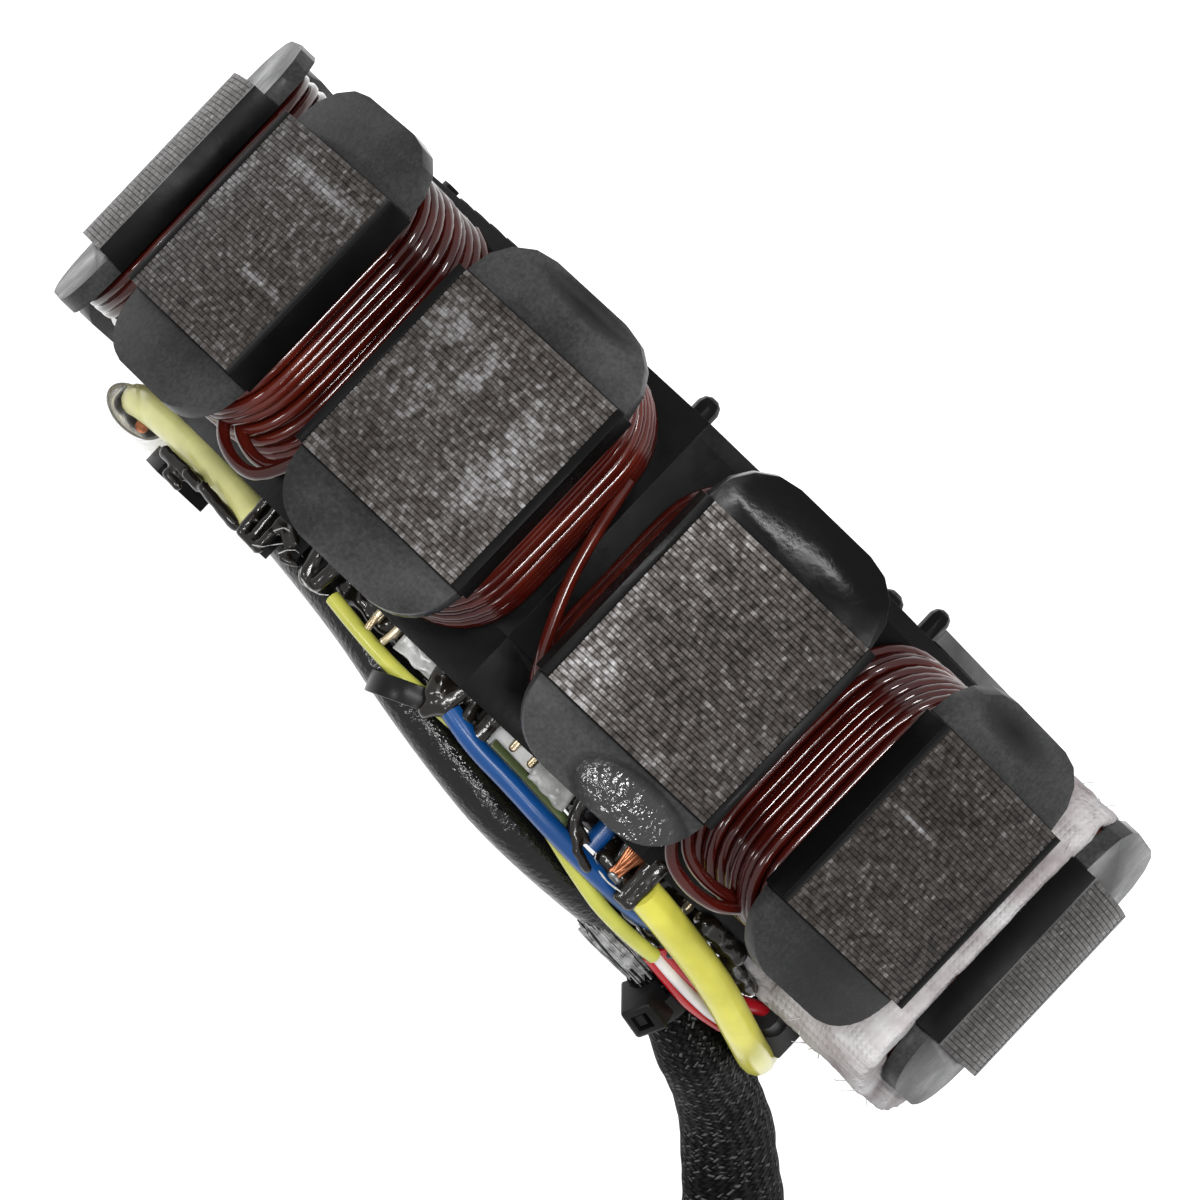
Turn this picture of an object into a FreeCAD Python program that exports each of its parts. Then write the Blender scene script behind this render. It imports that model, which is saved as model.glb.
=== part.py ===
import FreeCAD, Part
import math
import os
from FreeCAD import Vector

# Wound stator with twelve outward poles, in millimetres.
# The axis of the stator is Y, the origin is on the axis at the middle of the stack, and Z is up.
# The stator stands on the shoes of its two lowest poles. The leads are on the -Y side.
# Each pole is drawn in its own frame first, with u along X, the radial height along Z, and is
# then turned about Y. An angle is counted from +Z towards +X.

# Laminated core
pole_count = 12
outer_diameter = 118.0
stack_length = 21.0
bore_diameter = 56.0
slot_bottom = 41.5
neck_width = 9.5
shoe_width = 19.1
shoe_depth = 2.0
mount_hole_diameter = 6.5
mount_circle_diameter = 67.0
mount_count = 3
rivet_diameter = 4.0
rivet_head_diameter = 6.4
rivet_head_height = 1.2

# Moulded insulators
fit = 0.05
wall_thickness = 1.0
barrel_wall = 1.0
end_plate_thickness = 1.2
end_plate_width = 3.5
flange_thickness = 1.8
flange_width = 20.0
flange_overhang = 6.0
flange_corner = 5.7
upper_wall_overhang = 5.3
lower_wall_overhang = 6.2
rim_step_depth = 0.4
rim_step_height = 1.6
corner_sides = 4
small_sides = 8
rail_proud = 0.5

# Posts of the mouldings: angle, width, depth from the wall's inner face, reach past the rim
lower_posts = [(-36.1, 0.55, 3.0, 3.7), (-34.7, 0.55, 3.0, 3.9), (-35.4, 1.4, 3.0, 0.5)]
lower_posts += [(-28.5, 2.0, 1.5, 1.9), (-23.8, 2.4, 2.1, 2.5), (5.2, 2.0, 3.1, 1.0)]
lower_posts += [(34.0, 2.0, 2.1, 2.9), (56.0, 2.0, 2.1, 1.7)]
upper_posts = [(-55.0, 1.2, 1.0, 0.5), (-49.0, 1.4, 1.2, 0.15), (-45.0, 1.4, 1.2, 0.15)]
upper_posts += [(-41.0, 1.4, 1.2, 0.15), (-37.0, 1.4, 1.2, 0.15)]
post_root = 0.4

# Ledge of the upper moulding that the insulating paper stands behind
ledge_angle = 48.0
ledge_width = 7.5
ledge_depth = 2.2
ledge_reach = 0.2

# Round pegs of the upper moulding: angle, radius, reach past the rim
upper_pegs = [(-1.8, 1.2, 2.0), (33.8, 1.5, 0.9), (41.2, 1.1, 2.8)]

# Bracket under the first sleeve
bracket_angle = -61.0
bracket_width = 4.0
bracket_inner_depth = 5.6
bracket_outer_depth = 2.6
bracket_reach = 5.2
bracket_toe_height = 3.0
bracket_toe_thickness = 1.9

# Coils
turns_deep = 10
turn_groove = 0.45
coil_side_depth = 4.85
coil_end_depth = 3.4
coil_corner = 7.4
coil_play = 0.1
coil_corner_sides = 2
fine_coil_depth = 3.0

# Cloth wrap round the fine coil
wrap_side_depth = 2.3
wrap_upper_reach = 16.2
wrap_lower_reach = 18.9
wrap_corner = 5.0
wrap_lobe_inner = 39.4

# Pins and plates on the wiring side
pin_width = 0.75
pin_depth = 0.8
pin_circle = 39.7
pin_reach = 17.8
pin_pitch = 2.2
pin_pair_angles = [-13.0, 11.6, 46.7]
plate_thickness = 0.6
plate_reach = 18.2
wide_plate_width = 6.0
wide_plate_angle = 12.4
narrow_plate_width = 4.4
narrow_plate_angle = -6.9

# Leads
yellow_sleeve_diameter = 3.0
second_sleeve_diameter = 3.2
clear_sleeve_diameter = 5.2
clear_sleeve_bore = 4.5
cover_corners = 5
thin_lead_diameter = 1.4
blue_lead_diameter = 2.0
white_lead_diameter = 1.3
red_lead_diameter = 1.5
bundle_diameter = 5.0
braid_diameter = 8.0
tube_sides = 8
bend_step = 18.0
grommet_diameter = 3.5
grommet_out = 0.8
guide_thickness = 1.3
guide_length = 8.5
guide_reach = 5.2
tie_thickness = 0.9
tie_width = 2.6
tie_post_angle = -1.5
tie_post_depth = 3.35
tie_head = 5.0
tie_head_height = 3.3

# Loose ends on the wiring side
end_circle = 40.2
blue_end_angle = 26.5
blue_end_diameter = 2.0
solder_angle = 30.5
copper_end_diameter = 1.1
solder_diameter = 2.2
end_reach = 19.2

# Insulating paper on the upper side
flap_offset = 4.5
flap_width = 12.4
flap_thickness = 0.4
flap_reach = 1.8

# Plug on the far end of the lead
plug_length = 24.0
plug_width = 19.0
plug_height = 12.0
plug_wall_edge = 1.2
plug_nose_length = 9.1
plug_nose_step = 1.6
plug_ways = 4
way_width = 2.4
way_height = 3.2
way_depth = 6.0
latch_width = 5.2
latch_thickness = 1.2
latch_gap = 1.8
latch_root = 2.0
latch_margin = 3.0
seal_length = 11.0
seal_diameter = 11.0

# Worked out from the values above
pitch_angle = 360.0 / pole_count
half_pitch = math.radians(pitch_angle / 2)
outer_radius = outer_diameter / 2
half_stack = stack_length / 2
half_neck = neck_width / 2
half_shoe = shoe_width / 2
shoe_seat = outer_radius - shoe_depth
shoe_edge_height = math.sqrt(outer_radius ** 2 - half_shoe ** 2)
shoe_edge_angle = half_pitch - math.asin(half_shoe / outer_radius)
floor_height = -outer_radius * math.cos(shoe_edge_angle)
mount_radius = mount_circle_diameter / 2
wall_inner = slot_bottom + fit
wall_outer = wall_inner + wall_thickness
end_plate_inner = slot_bottom - end_plate_width
rivet_radius = (bore_diameter / 2 + end_plate_inner) / 2
half_barrel = half_neck + fit + barrel_wall
barrel_end = half_stack + fit + barrel_wall
flange_top = shoe_seat - fit
flange_bottom = flange_top - flange_thickness
upper_rim = half_stack + upper_wall_overhang
lower_rim = -half_stack - lower_wall_overhang
grommet_reach = lower_rim + wrap_lower_reach + fit + grommet_diameter / 2
below_grommet = grommet_reach + grommet_diameter / 2 + fit + second_sleeve_diameter / 2
flange_end = half_stack + flange_overhang
lower_plate_face = -half_stack - fit - end_plate_thickness
upper_plate_face = half_stack + fit + end_plate_thickness
window_bottom = wall_outer + coil_play
window_top = flange_bottom - coil_play
turn_pitch = (window_top - window_bottom) / turns_deep
pole_angles = [pitch_angle * (index + 0.5) for index in range(pole_count)]
exciter_angle = pole_angles[2]


def box(x0, x1, y0, y1, z0, z1):
    return Part.makeBox(x1 - x0, y1 - y0, z1 - z0, Vector(x0, y0, z0))


def turned(shape, angle):
    """A copy of a shape, turned about the stator's axis."""
    copy = shape.copy()
    copy.rotate(Vector(0, 0, 0), Vector(0, 1, 0), angle)
    return copy


def at_angle(radius, angle, y):
    """A point at a radius and an angle in degrees from +Z towards +X."""
    turn = math.radians(angle)
    return Vector(radius * math.sin(turn), y, radius * math.cos(turn))


def fused(shapes):
    return shapes[0].multiFuse(shapes[1:]).removeSplitter()


def polygon_ring(flat, y):
    """The corners of the regular polygon whose flats face the poles."""
    corner = flat / math.cos(half_pitch)
    ring = [at_angle(corner, pitch_angle * index, y) for index in range(pole_count)]
    return ring + [ring[0]]


def polygon_prism(flat, y0, y1):
    face = Part.Face(Part.makePolygon(polygon_ring(flat, y0)))
    return face.extrude(Vector(0, y1 - y0, 0))


def axis_cylinder(radius, y0, y1, centre=Vector(0, 0, 0)):
    start = Vector(centre.x, y0, centre.z)
    return Part.makeCylinder(radius, y1 - y0, start, Vector(0, 1, 0))


def flat_sided(rings):
    """A solid with flat sides between rings of corners whose sides are parallel."""
    faces = []
    for low, high in zip(rings, rings[1:]):
        for index in range(len(low)):
            follow = (index + 1) % len(low)
            quad = [low[index], low[follow], high[follow], high[index], low[index]]
            faces.append(Part.Face(Part.makePolygon(quad)))
    for ring in (rings[0], rings[-1]):
        faces.append(Part.Face(Part.makePolygon(ring + [ring[0]])))
    solid = Part.Solid(Part.makeShell(faces))
    if solid.Volume < 0:
        solid.reverse()
    return solid


def rounded_ring(half_width, y0, y1, radius0, radius1, height, chords):
    """Corners of a rectangle at a height, with its corners at y0 and y1 rounded by chords."""
    points = []
    quarters = ((1, 1, radius1, 0), (-1, 1, radius1, 90), (-1, -1, radius0, 180), (1, -1, radius0, 270))
    for side_u, side_y, radius, start in quarters:
        middle = side_u * (half_width - radius)
        along = y1 - radius if side_y > 0 else y0 + radius
        for step in range(chords + 1 if radius else 1):
            turn = math.radians(start + 90.0 * step / chords)
            points.append(Vector(middle + radius * math.cos(turn), along + radius * math.sin(turn), height))
    return points


def rounded_slab(half_width, y0, y1, radius0, radius1, z0, z1):
    ends = (half_width, y0, y1, radius0, radius1)
    return flat_sided([rounded_ring(*ends, z0, corner_sides), rounded_ring(*ends, z1, corner_sides)])


def small_rod(centre, steps):
    """A small turned piece along Y, drawn with few sides, from its radii and places."""
    rings = []
    for radius, y in steps:
        ring = []
        for side in range(small_sides):
            turn = 2 * math.pi * side / small_sides
            ring.append(centre + Vector(radius * math.sin(turn), y, radius * math.cos(turn)))
        rings.append(ring)
    return flat_sided(rings)


def core_outline():
    """Edges of the outer outline: slot bottoms, necks and shoes with a round pole face."""
    edges = []
    corner = slot_bottom / math.cos(half_pitch)

    def local(u, height, angle):
        turn = math.radians(angle)
        x = u * math.cos(turn) + height * math.sin(turn)
        z = height * math.cos(turn) - u * math.sin(turn)
        return Vector(x, -half_stack, z)

    def line(a, b):
        edges.append(Part.LineSegment(a, b).toShape())

    for angle in pole_angles:
        before = at_angle(corner, angle - pitch_angle / 2, -half_stack)
        after = at_angle(corner, angle + pitch_angle / 2, -half_stack)
        left = [before]
        left.append(local(-half_neck, slot_bottom, angle))
        left.append(local(-half_neck, shoe_seat, angle))
        left.append(local(-half_shoe, shoe_seat, angle))
        left.append(local(-half_shoe, shoe_edge_height, angle))
        right = [local(half_shoe, shoe_edge_height, angle)]
        right.append(local(half_shoe, shoe_seat, angle))
        right.append(local(half_neck, shoe_seat, angle))
        right.append(local(half_neck, slot_bottom, angle))
        right.append(after)
        for a, b in zip(left, left[1:]):
            line(a, b)
        crown = local(0, outer_radius, angle)
        edges.append(Part.Arc(left[-1], crown, right[0]).toShape())
        for a, b in zip(right, right[1:]):
            line(a, b)
    return edges


def mount_angle(index):
    return 60.0 + 360.0 * index / mount_count


def rivet_angle(index):
    return 360.0 * index / mount_count


def laminated_core():
    face = Part.Face(Part.Wire(core_outline()))
    core = face.extrude(Vector(0, stack_length, 0))
    core = core.cut(axis_cylinder(bore_diameter / 2, -half_stack, half_stack))
    rivet_hole = rivet_diameter / 2 + fit
    for index in range(mount_count):
        centre = at_angle(mount_radius, mount_angle(index), 0)
        core = core.cut(axis_cylinder(mount_hole_diameter / 2, -half_stack, half_stack, centre))
        centre = at_angle(rivet_radius, rivet_angle(index), 0)
        core = core.cut(small_rod(centre, [(rivet_hole, -half_stack - 1), (rivet_hole, half_stack + 1)]))
    return core


def core_rivets():
    rivets = []
    shank, head = rivet_diameter / 2, rivet_head_diameter / 2
    head_face = half_stack + rivet_head_height
    steps = [(head, -head_face), (head, -half_stack), (shank, -half_stack)]
    steps += [(shank, half_stack), (head, half_stack), (head, head_face)]
    for index in range(mount_count):
        rivets.append(small_rod(at_angle(rivet_radius, rivet_angle(index), 0), steps))
    return Part.makeCompound(rivets)


def neck_slot():
    """The room that the core's neck takes inside a bobbin."""
    half = half_neck + fit
    end = half_stack + fit
    return box(-half, half, -end, end, slot_bottom - 1, outer_radius)


def flange_plate(side):
    """One half of a bobbin's outer flange, from the joint at the stack's lower end."""
    half = flange_width / 2
    radius = min(flange_corner, flange_overhang - fit)
    if side > 0:
        return rounded_slab(half, -half_stack, flange_end, 0, radius, flange_bottom, flange_top)
    return rounded_slab(half, -flange_end, -half_stack, radius, 0, flange_bottom, flange_top)


def side_rails():
    """Two rails that stand on the flange along the sides of the shoe, as long as the stack."""
    inner, outer = half_shoe + fit, flange_width / 2 + rail_proud
    rails = []
    for u0, u1 in ((inner, outer), (-outer, -inner)):
        rails.append(box(u0, u1, -half_stack, half_stack, flange_bottom, shoe_edge_height))
    return rails


def pole_moulding(side):
    """The barrel and the flange that one moulding puts on one pole."""
    joint = -half_stack
    end = side * barrel_end
    y0, y1 = min(joint, end), max(joint, end)
    barrel = box(-half_barrel, half_barrel, y0, y1, wall_inner, flange_top)
    if side > 0:
        return barrel.fuse([flange_plate(side)] + side_rails())
    return barrel.fuse(flange_plate(side))


def without_necks(shape):
    """The moulding with the twelve necks' room cut out."""
    slot = neck_slot()
    return shape.cut([turned(slot, angle) for angle in pole_angles])


def wall_ring(y0, y1, flat):
    return polygon_prism(flat, y0, y1).cut(polygon_prism(wall_inner, y0, y1))


def end_plate(y0, y1):
    return polygon_prism(wall_inner, y0, y1).cut(polygon_prism(end_plate_inner, y0, y1))


def post(angle, width, depth, y0, y1):
    """A moulded post that stands along the axis on the wall's inner side."""
    inner, outer = wall_inner - depth, wall_inner + post_root
    return turned(box(-width / 2, width / 2, y0, y1, inner, outer), angle)


def peg(angle, radius, y0, y1):
    """A round peg with a domed head."""
    centre = at_angle(wall_inner - radius * 0.8, angle, 0)
    shoulder, crown = y1 - radius * 0.8, y1 - radius * 0.25
    steps = [(radius, y0), (radius, shoulder), (radius * 0.75, crown), (radius * 0.35, y1)]
    return small_rod(centre, steps)


def upper_insulator():
    step = upper_rim - rim_step_height
    parts = [wall_ring(-half_stack, step, wall_outer)]
    parts.append(wall_ring(step, upper_rim, wall_outer - rim_step_depth))
    parts.append(end_plate(half_stack + fit, upper_plate_face))
    moulding = pole_moulding(1)
    parts += [turned(moulding, angle) for angle in pole_angles]
    for angle, radius, reach in upper_pegs:
        parts.append(peg(angle, radius, upper_plate_face, upper_rim + reach))
    for angle, width, depth, reach in upper_posts:
        parts.append(post(angle, width, depth, upper_plate_face, upper_rim + reach))
    parts.append(post(ledge_angle, ledge_width, ledge_depth, upper_plate_face, upper_rim + ledge_reach))
    return without_necks(fused(parts))


def sleeve_bracket():
    """The bracket on the end plate, with a toe that stands out under the first sleeve."""
    half = bracket_width / 2
    inner, outer = wall_inner - bracket_inner_depth, wall_inner - bracket_outer_depth
    tip = lower_rim - bracket_reach
    stem = box(-half, half, tip, lower_plate_face, inner, outer)
    toe = box(-half, half, tip, tip + bracket_toe_thickness, outer, outer + bracket_toe_height)
    return turned(stem.fuse(toe), bracket_angle)


def lower_insulator():
    parts = [wall_ring(lower_rim, -half_stack, wall_outer)]
    parts.append(end_plate(lower_plate_face, -half_stack - fit))
    moulding = pole_moulding(-1)
    parts += [turned(moulding, angle) for angle in pole_angles]
    for angle, width, depth, reach in lower_posts:
        parts.append(post(angle, width, depth, lower_rim - reach, lower_plate_face))
    parts.append(post(tie_post_angle, tie_width, tie_post_depth, lower_rim, lower_plate_face))
    parts.append(sleeve_bracket())
    return without_necks(fused(parts))


def barrel_room(bottom, top):
    """The hole of a coil, which slides over the barrel with its play."""
    half = half_barrel + coil_play
    end = barrel_end + coil_play
    return box(-half, half, -end, end, bottom - 1, top + 1)


def turn_ring(inset, height):
    """Corners of one turn of a heavy coil, set in by the groove between two turns."""
    half_width = half_barrel + coil_side_depth - inset
    half_length = barrel_end + coil_end_depth - inset
    corner = coil_corner - inset
    return rounded_ring(half_width, -half_length, half_length, corner, corner, height, coil_corner_sides)


def heavy_coil():
    """A coil whose sides show each turn as a ridge, seated between wall and flange."""
    rings = []
    for turn in range(turns_deep):
        height = window_bottom + turn * turn_pitch
        rings.append(turn_ring(turn_groove, height))
        rings.append(turn_ring(0, height + turn_pitch / 2))
    rings.append(turn_ring(turn_groove, window_top))
    return flat_sided(rings).cut(barrel_room(window_bottom, window_top))


def exciter_coil():
    half_width = half_barrel + fine_coil_depth
    half_length = barrel_end + fine_coil_depth
    ends = (half_width, -half_length, half_length, fine_coil_depth, fine_coil_depth)
    coil = rounded_slab(*ends, window_bottom, window_top)
    return turned(coil.cut(barrel_room(window_bottom, window_top)), exciter_angle)


def cloth_wrap():
    """The taped pad round the fine coil, with a lobe over the wall's lower rim."""
    half = half_barrel + fine_coil_depth + wrap_side_depth
    ends = (half, -wrap_lower_reach, wrap_upper_reach, wrap_corner, wrap_corner)
    body = rounded_slab(*ends, window_bottom, window_top)
    lobe_half = half - wrap_corner / 2
    lobe_face = lower_rim - fit
    lobe = box(-lobe_half, lobe_half, -wrap_lower_reach, lobe_face, wrap_lobe_inner, window_bottom)
    body = body.fuse(lobe)
    room_u = half_barrel + fine_coil_depth + fit
    room_y = barrel_end + fine_coil_depth + fit
    room = box(-room_u, room_u, -room_y, room_y, window_bottom - 1, window_top + 1)
    return turned(body.cut(room).removeSplitter(), exciter_angle)


def terminal_pins():
    """Three pairs of flat pins with round ends, standing on the lower end plate."""
    pins = []
    low, high = pin_circle - pin_depth / 2, pin_circle + pin_depth / 2
    radius = pin_width / 2
    pin = rounded_slab(radius, -pin_reach, lower_plate_face, radius * 0.9, 0, low, high)
    half_step = math.degrees(pin_pitch / 2 / pin_circle)
    for middle in pin_pair_angles:
        pins.append(turned(pin, middle - half_step))
        pins.append(turned(pin, middle + half_step))
    return Part.makeCompound(pins)


def terminal_plates():
    """Two thin pale plates behind the pins."""
    top = pin_circle - pin_depth / 2 - fit
    plates = []
    for width, angle in ((wide_plate_width, wide_plate_angle), (narrow_plate_width, narrow_plate_angle)):
        plate = box(-width / 2, width / 2, -plate_reach, lower_plate_face, top - plate_thickness, top)
        plates.append(turned(plate, angle))
    return Part.makeCompound(plates)


def unit(vector):
    return vector * (1 / vector.Length)


def bend_reach(points, index):
    """How far along its two runs the bend at a point of a path may start."""
    point = points[index]
    return 0.45 * min((point - points[index - 1]).Length, (points[index + 1] - point).Length)


def rounded_path(points):
    """Straight runs joined by tangent arcs, each as large as its two runs allow."""
    edges = []
    radii = []
    last = points[0]
    for index in range(1, len(points) - 1):
        point = points[index]
        into, out = unit(point - points[index - 1]), unit(points[index + 1] - point)
        reach = bend_reach(points, index)
        half_turn = into.getAngle(out) / 2
        radius = reach / math.tan(half_turn)
        inward = unit(out - into)
        start, end = point - into * reach, point + out * reach
        middle = point + inward * (radius / math.cos(half_turn) - radius)
        edges.append(Part.LineSegment(last, start).toShape())
        edges.append(Part.Arc(start, middle, end).toShape())
        radii.append(radius)
        last = end
    edges.append(Part.LineSegment(last, points[-1]).toShape())
    return Part.Wire(edges), radii


def section_ring(centre, direction, diameter):
    """Corners of a lead's section: a circle drawn with few sides, to keep tubes light."""
    turn = FreeCAD.Rotation(Vector(0, 0, 1), direction)
    corners = []
    for side in range(tube_sides):
        angle = 2 * math.pi * side / tube_sides
        spot = Vector(math.cos(angle), math.sin(angle), 0) * (diameter / 2)
        corners.append(centre + turn.multVec(spot))
    return corners


def eased(points):
    """The corners of a lead's path, each bend shared by a few small ones along its arc."""
    corners = [points[0]]
    for index in range(1, len(points) - 1):
        point = points[index]
        into, out = unit(point - points[index - 1]), unit(points[index + 1] - point)
        reach = bend_reach(points, index)
        half_turn = into.getAngle(out) / 2
        radius = reach / math.tan(half_turn)
        centre = point + unit(out - into) * (radius / math.cos(half_turn))
        spoke = unit(point - into * reach - centre)
        count = math.ceil(math.degrees(2 * half_turn) / bend_step)
        share = 2 * half_turn / count
        for step in range(count):
            turn = share * (step + 0.5)
            way = spoke * math.cos(turn) + into * math.sin(turn)
            corners.append(centre + way * (radius / math.cos(share / 2)))
    return corners + [points[-1]]


def mitred_tube(corners, diameter):
    """A flat-sided tube whose runs meet on the planes that halve their bends."""
    ring = section_ring(corners[0], corners[1] - corners[0], diameter)
    rings = [ring]
    for before, corner, after in zip(corners, corners[1:], corners[2:]):
        into = unit(corner - before)
        normal = into + unit(after - corner)
        ring = [spot + into * ((corner - spot).dot(normal) / into.dot(normal)) for spot in ring]
        rings.append(ring)
    into = unit(corners[-1] - corners[-2])
    rings.append([spot + into * (corners[-1] - spot).dot(into) for spot in ring])
    return flat_sided(rings)


def rim_points(places):
    """Points by the lower rim: angle, distance out from the wall's inner face, reach past the rim."""
    return [at_angle(wall_inner + out, angle, lower_rim - reach) for angle, out, reach in places]


def rim_lead(places, diameter):
    return mitred_tube(eased(rim_points(places)), diameter)


def sleeve_corners():
    """The first output lead leaves the rim and turns down beside the outermost coil."""
    places = [(-40.0, -1.0, 1.9), (-50.5, -1.0, 1.6), (-61.0, 0.3, 1.6), (-72.5, 2.4, 2.5)]
    places += [(-82.0, 2.4, 2.7), (-94.0, 1.9, 2.7), (-105.0, 1.4, 2.7)]
    return eased(rim_points(places))


def yellow_sleeve_a():
    return mitred_tube(sleeve_corners(), yellow_sleeve_diameter)


def clear_sleeve():
    """The open clear cover over the lower end of the first sleeve."""
    corners = sleeve_corners()[-cover_corners:]
    return mitred_tube(corners, clear_sleeve_diameter).cut(mitred_tube(corners, clear_sleeve_bore))


def yellow_sleeve_b():
    """The second sleeve passes under the grommet and turns down beside it."""
    places = [(36.1, 1.4, 2.5), (49.7, 1.9, 3.6), (64.2, 3.0, 6.2), (77.0, 2.3, below_grommet)]
    places += [(84.0, 1.6, below_grommet), (92.0, 0.6, 4.4), (100.0, 0.4, 1.8)]
    return rim_lead(places, second_sleeve_diameter)


def thin_yellow_lead():
    places = [(-21.1, -1.6, 2.1), (-10.9, -1.5, 3.1), (1.4, -1.6, 3.1), (14.0, -2.4, 4.0)]
    places += [(28.0, -1.9, 5.1), (37.2, -1.1, 6.1), (42.6, -1.1, 6.2)]
    return rim_lead(places, thin_lead_diameter)


def blue_lead():
    places = [(1.5, 0.1, 2.1), (11.6, 0.3, 2.8), (21.6, 0.3, 3.5), (31.7, -0.3, 4.0)]
    places += [(42.5, -1.4, 3.9), (51.0, -1.8, 1.7)]
    return rim_lead(places, blue_lead_diameter)


def green_lead():
    return rim_lead([(7.5, -1.5, 1.8), (14.9, -1.4, 1.9), (23.0, -1.6, 2.5)], thin_lead_diameter)


def white_lead():
    places = [(45.2, -1.2, 5.7), (54.0, -1.0, 6.2), (65.6, -0.2, 6.0), (72.6, 1.0, grommet_reach + 0.9)]
    return rim_lead(places, white_lead_diameter)


def red_lead():
    places = [(50.1, -1.7, 4.5), (59.0, -1.5, 4.6), (65.9, -0.1, 4.2), (72.6, 0.9, grommet_reach - 0.8)]
    return rim_lead(places, red_lead_diameter)


def lead_grommet():
    """The rubber tube end that the red and the white lead go into."""
    places = [(angle, grommet_out, grommet_reach) for angle in (73.2, 83.2)]
    return mitred_tube(rim_points(places), grommet_diameter)


def lead_guide():
    """The thin plate behind the grommet, on the cloth wrap."""
    half = guide_length / 2
    low = wall_inner + grommet_out + grommet_diameter / 2 + fit
    plate = box(-half, half, lower_rim - guide_reach, -wrap_lower_reach - fit, low, low + guide_thickness)
    return turned(plate, 85.0)


def blue_terminal():
    centre = at_angle(end_circle, blue_end_angle, 0)
    radius = blue_end_diameter / 2
    return small_rod(centre, [(radius, -end_reach), (radius, lower_plate_face - fit)])


def solder_joint():
    """Three copper wire ends side by side, in a drop of solder near their tips."""
    middle = at_angle(end_circle, solder_angle, 0)
    radius, drop = copper_end_diameter / 2, solder_diameter / 2
    tip, root = -end_reach + copper_end_diameter, lower_rim + copper_end_diameter
    steps = [(radius, tip - radius), (drop, tip), (drop, root - radius), (radius, root)]
    parts = [small_rod(middle, steps)]
    for index in range(3):
        centre = middle + at_angle(radius * 1.13, 90.0 + 120.0 * index, 0)
        parts.append(small_rod(centre, [(radius, -end_reach), (radius, lower_plate_face - fit)]))
    return fused(parts)


def bundle_tube():
    """The bundle follows the ring and runs straight into the mouth of the braided sleeve."""
    places = [(-38.4, -6.1, 1.2), (-21.5, -6.1, 2.0), (-7.3, -6.1, 3.7), (7.3, -6.1, 5.2)]
    places.append((20.7, -6.2, 6.0))
    mouth = braid_points[0]
    into_mouth = unit(braid_points[1] - mouth) * bundle_diameter
    return mitred_tube(eased(rim_points(places) + [mouth - into_mouth, mouth]), bundle_diameter)


def strap(inner_width, inner_height, corner):
    """A closed strap of a cable tie, in the XY plane and centred on the origin."""
    def slab(extra):
        half_width, half_height, radius = inner_width / 2 + extra, inner_height / 2 + extra, corner + extra
        ends = (half_width, -half_height, half_height, radius, radius)
        return rounded_slab(*ends, -tie_width / 2, tie_width / 2)
    return slab(tie_thickness).cut(slab(0))


def aimed(shape, place, direction, facing):
    """A shape drawn along Z, turned to a direction with its Y side towards another one."""
    along = unit(direction)
    side = unit(facing.cross(along))
    copy = shape.copy()
    copy.Placement = FreeCAD.Placement(place, FreeCAD.Rotation(side, along.cross(side), along))
    return copy


def bundle_tie():
    """The tie that holds the bundle and the thin lead to the anchor post."""
    ring = strap(8.3, 5.7, 2.4)
    ring.rotate(Vector(0, 0, 0), Vector(0, 1, 0), -90)
    ring.translate(Vector(0, lower_rim - 4.25, wall_inner - 4.85))
    return turned(ring, tie_post_angle)


def sleeve_tie():
    """The tie round the braided sleeve, with its square head on the upper side."""
    place = braid_points[0] * 0.4 + braid_points[1] * 0.6
    direction = braid_points[1] - braid_points[0]
    inside = braid_diameter + 2 * fit
    ring = strap(inside, inside, inside / 2 - fit)
    half = tie_head / 2
    low = inside / 2 + tie_thickness / 2
    top = low + tie_head_height
    head = box(-half, half, low, top, -half, half)
    slot = box(-tie_width / 2, tie_width / 2, top - tie_head_height / 2, top + 1, -half / 2, half / 2)
    whole = ring.fuse(head).cut(slot).removeSplitter()
    return aimed(whole, place, direction, Vector(0, -0.25, 1))


braid_rest = floor_height + braid_diameter / 2
braid_points = [Vector(23.3, -23.3, 25.0), Vector(31.5, -25.2, 17.5), Vector(36.9, -27.2, 10.5)]
braid_points += [Vector(41.2, -29.0, -1.5), Vector(45.6, -32.6, -9.5)]
braid_points += [Vector(57.5, -43.5, -29.0), Vector(67.5, -53.5, -41.5), Vector(81.0, -65.0, -51.0)]
braid_points += [Vector(98.0, -72.5, braid_rest), Vector(117.0, -70.4, braid_rest)]
braid_points += [Vector(131.0, -60.0, braid_rest), Vector(139.2, -44.5, braid_rest)]
braid_points.append(Vector(141.4, -26.5, braid_rest))


def braided_sleeve():
    """The sleeve swept along runs and arcs; prints its bends and checks its volume."""
    path, radii = rounded_path(braid_points)
    ring = section_ring(braid_points[0], braid_points[1] - braid_points[0], braid_diameter)
    section = Part.makePolygon(ring + [ring[0]])
    solid = path.makePipeShell([section], True, False)
    ratio = solid.Volume / (Part.Face(section).Area * path.Length)
    print(f"braided_sleeve: length {path.Length:.1f}, volume ratio {ratio:.4f}")
    print("bends in diameters:", [round(radius / braid_diameter, 1) for radius in radii])
    return solid


def along_lead(shape):
    """A shape drawn along X from the lead's end, turned to the lead's direction."""
    direction = braid_points[-1] - braid_points[-2]
    copy = shape.copy()
    copy.rotate(Vector(0, 0, 0), Vector(0, 0, 1), math.degrees(math.atan2(direction.y, direction.x)))
    copy.translate(braid_points[-1])
    return copy


def connector_seal():
    """The tapered rubber seal between the sleeve and the plug."""
    rings = [section_ring(Vector(0, 0, 0), Vector(1, 0, 0), braid_diameter)]
    rings.append(section_ring(Vector(seal_length, 0, 0), Vector(1, 0, 0), seal_diameter))
    keep = box(-1, seal_length + 1, -seal_diameter, seal_diameter, -braid_diameter / 2, seal_diameter)
    return along_lead(flat_sided(rings).common(keep))


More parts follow.
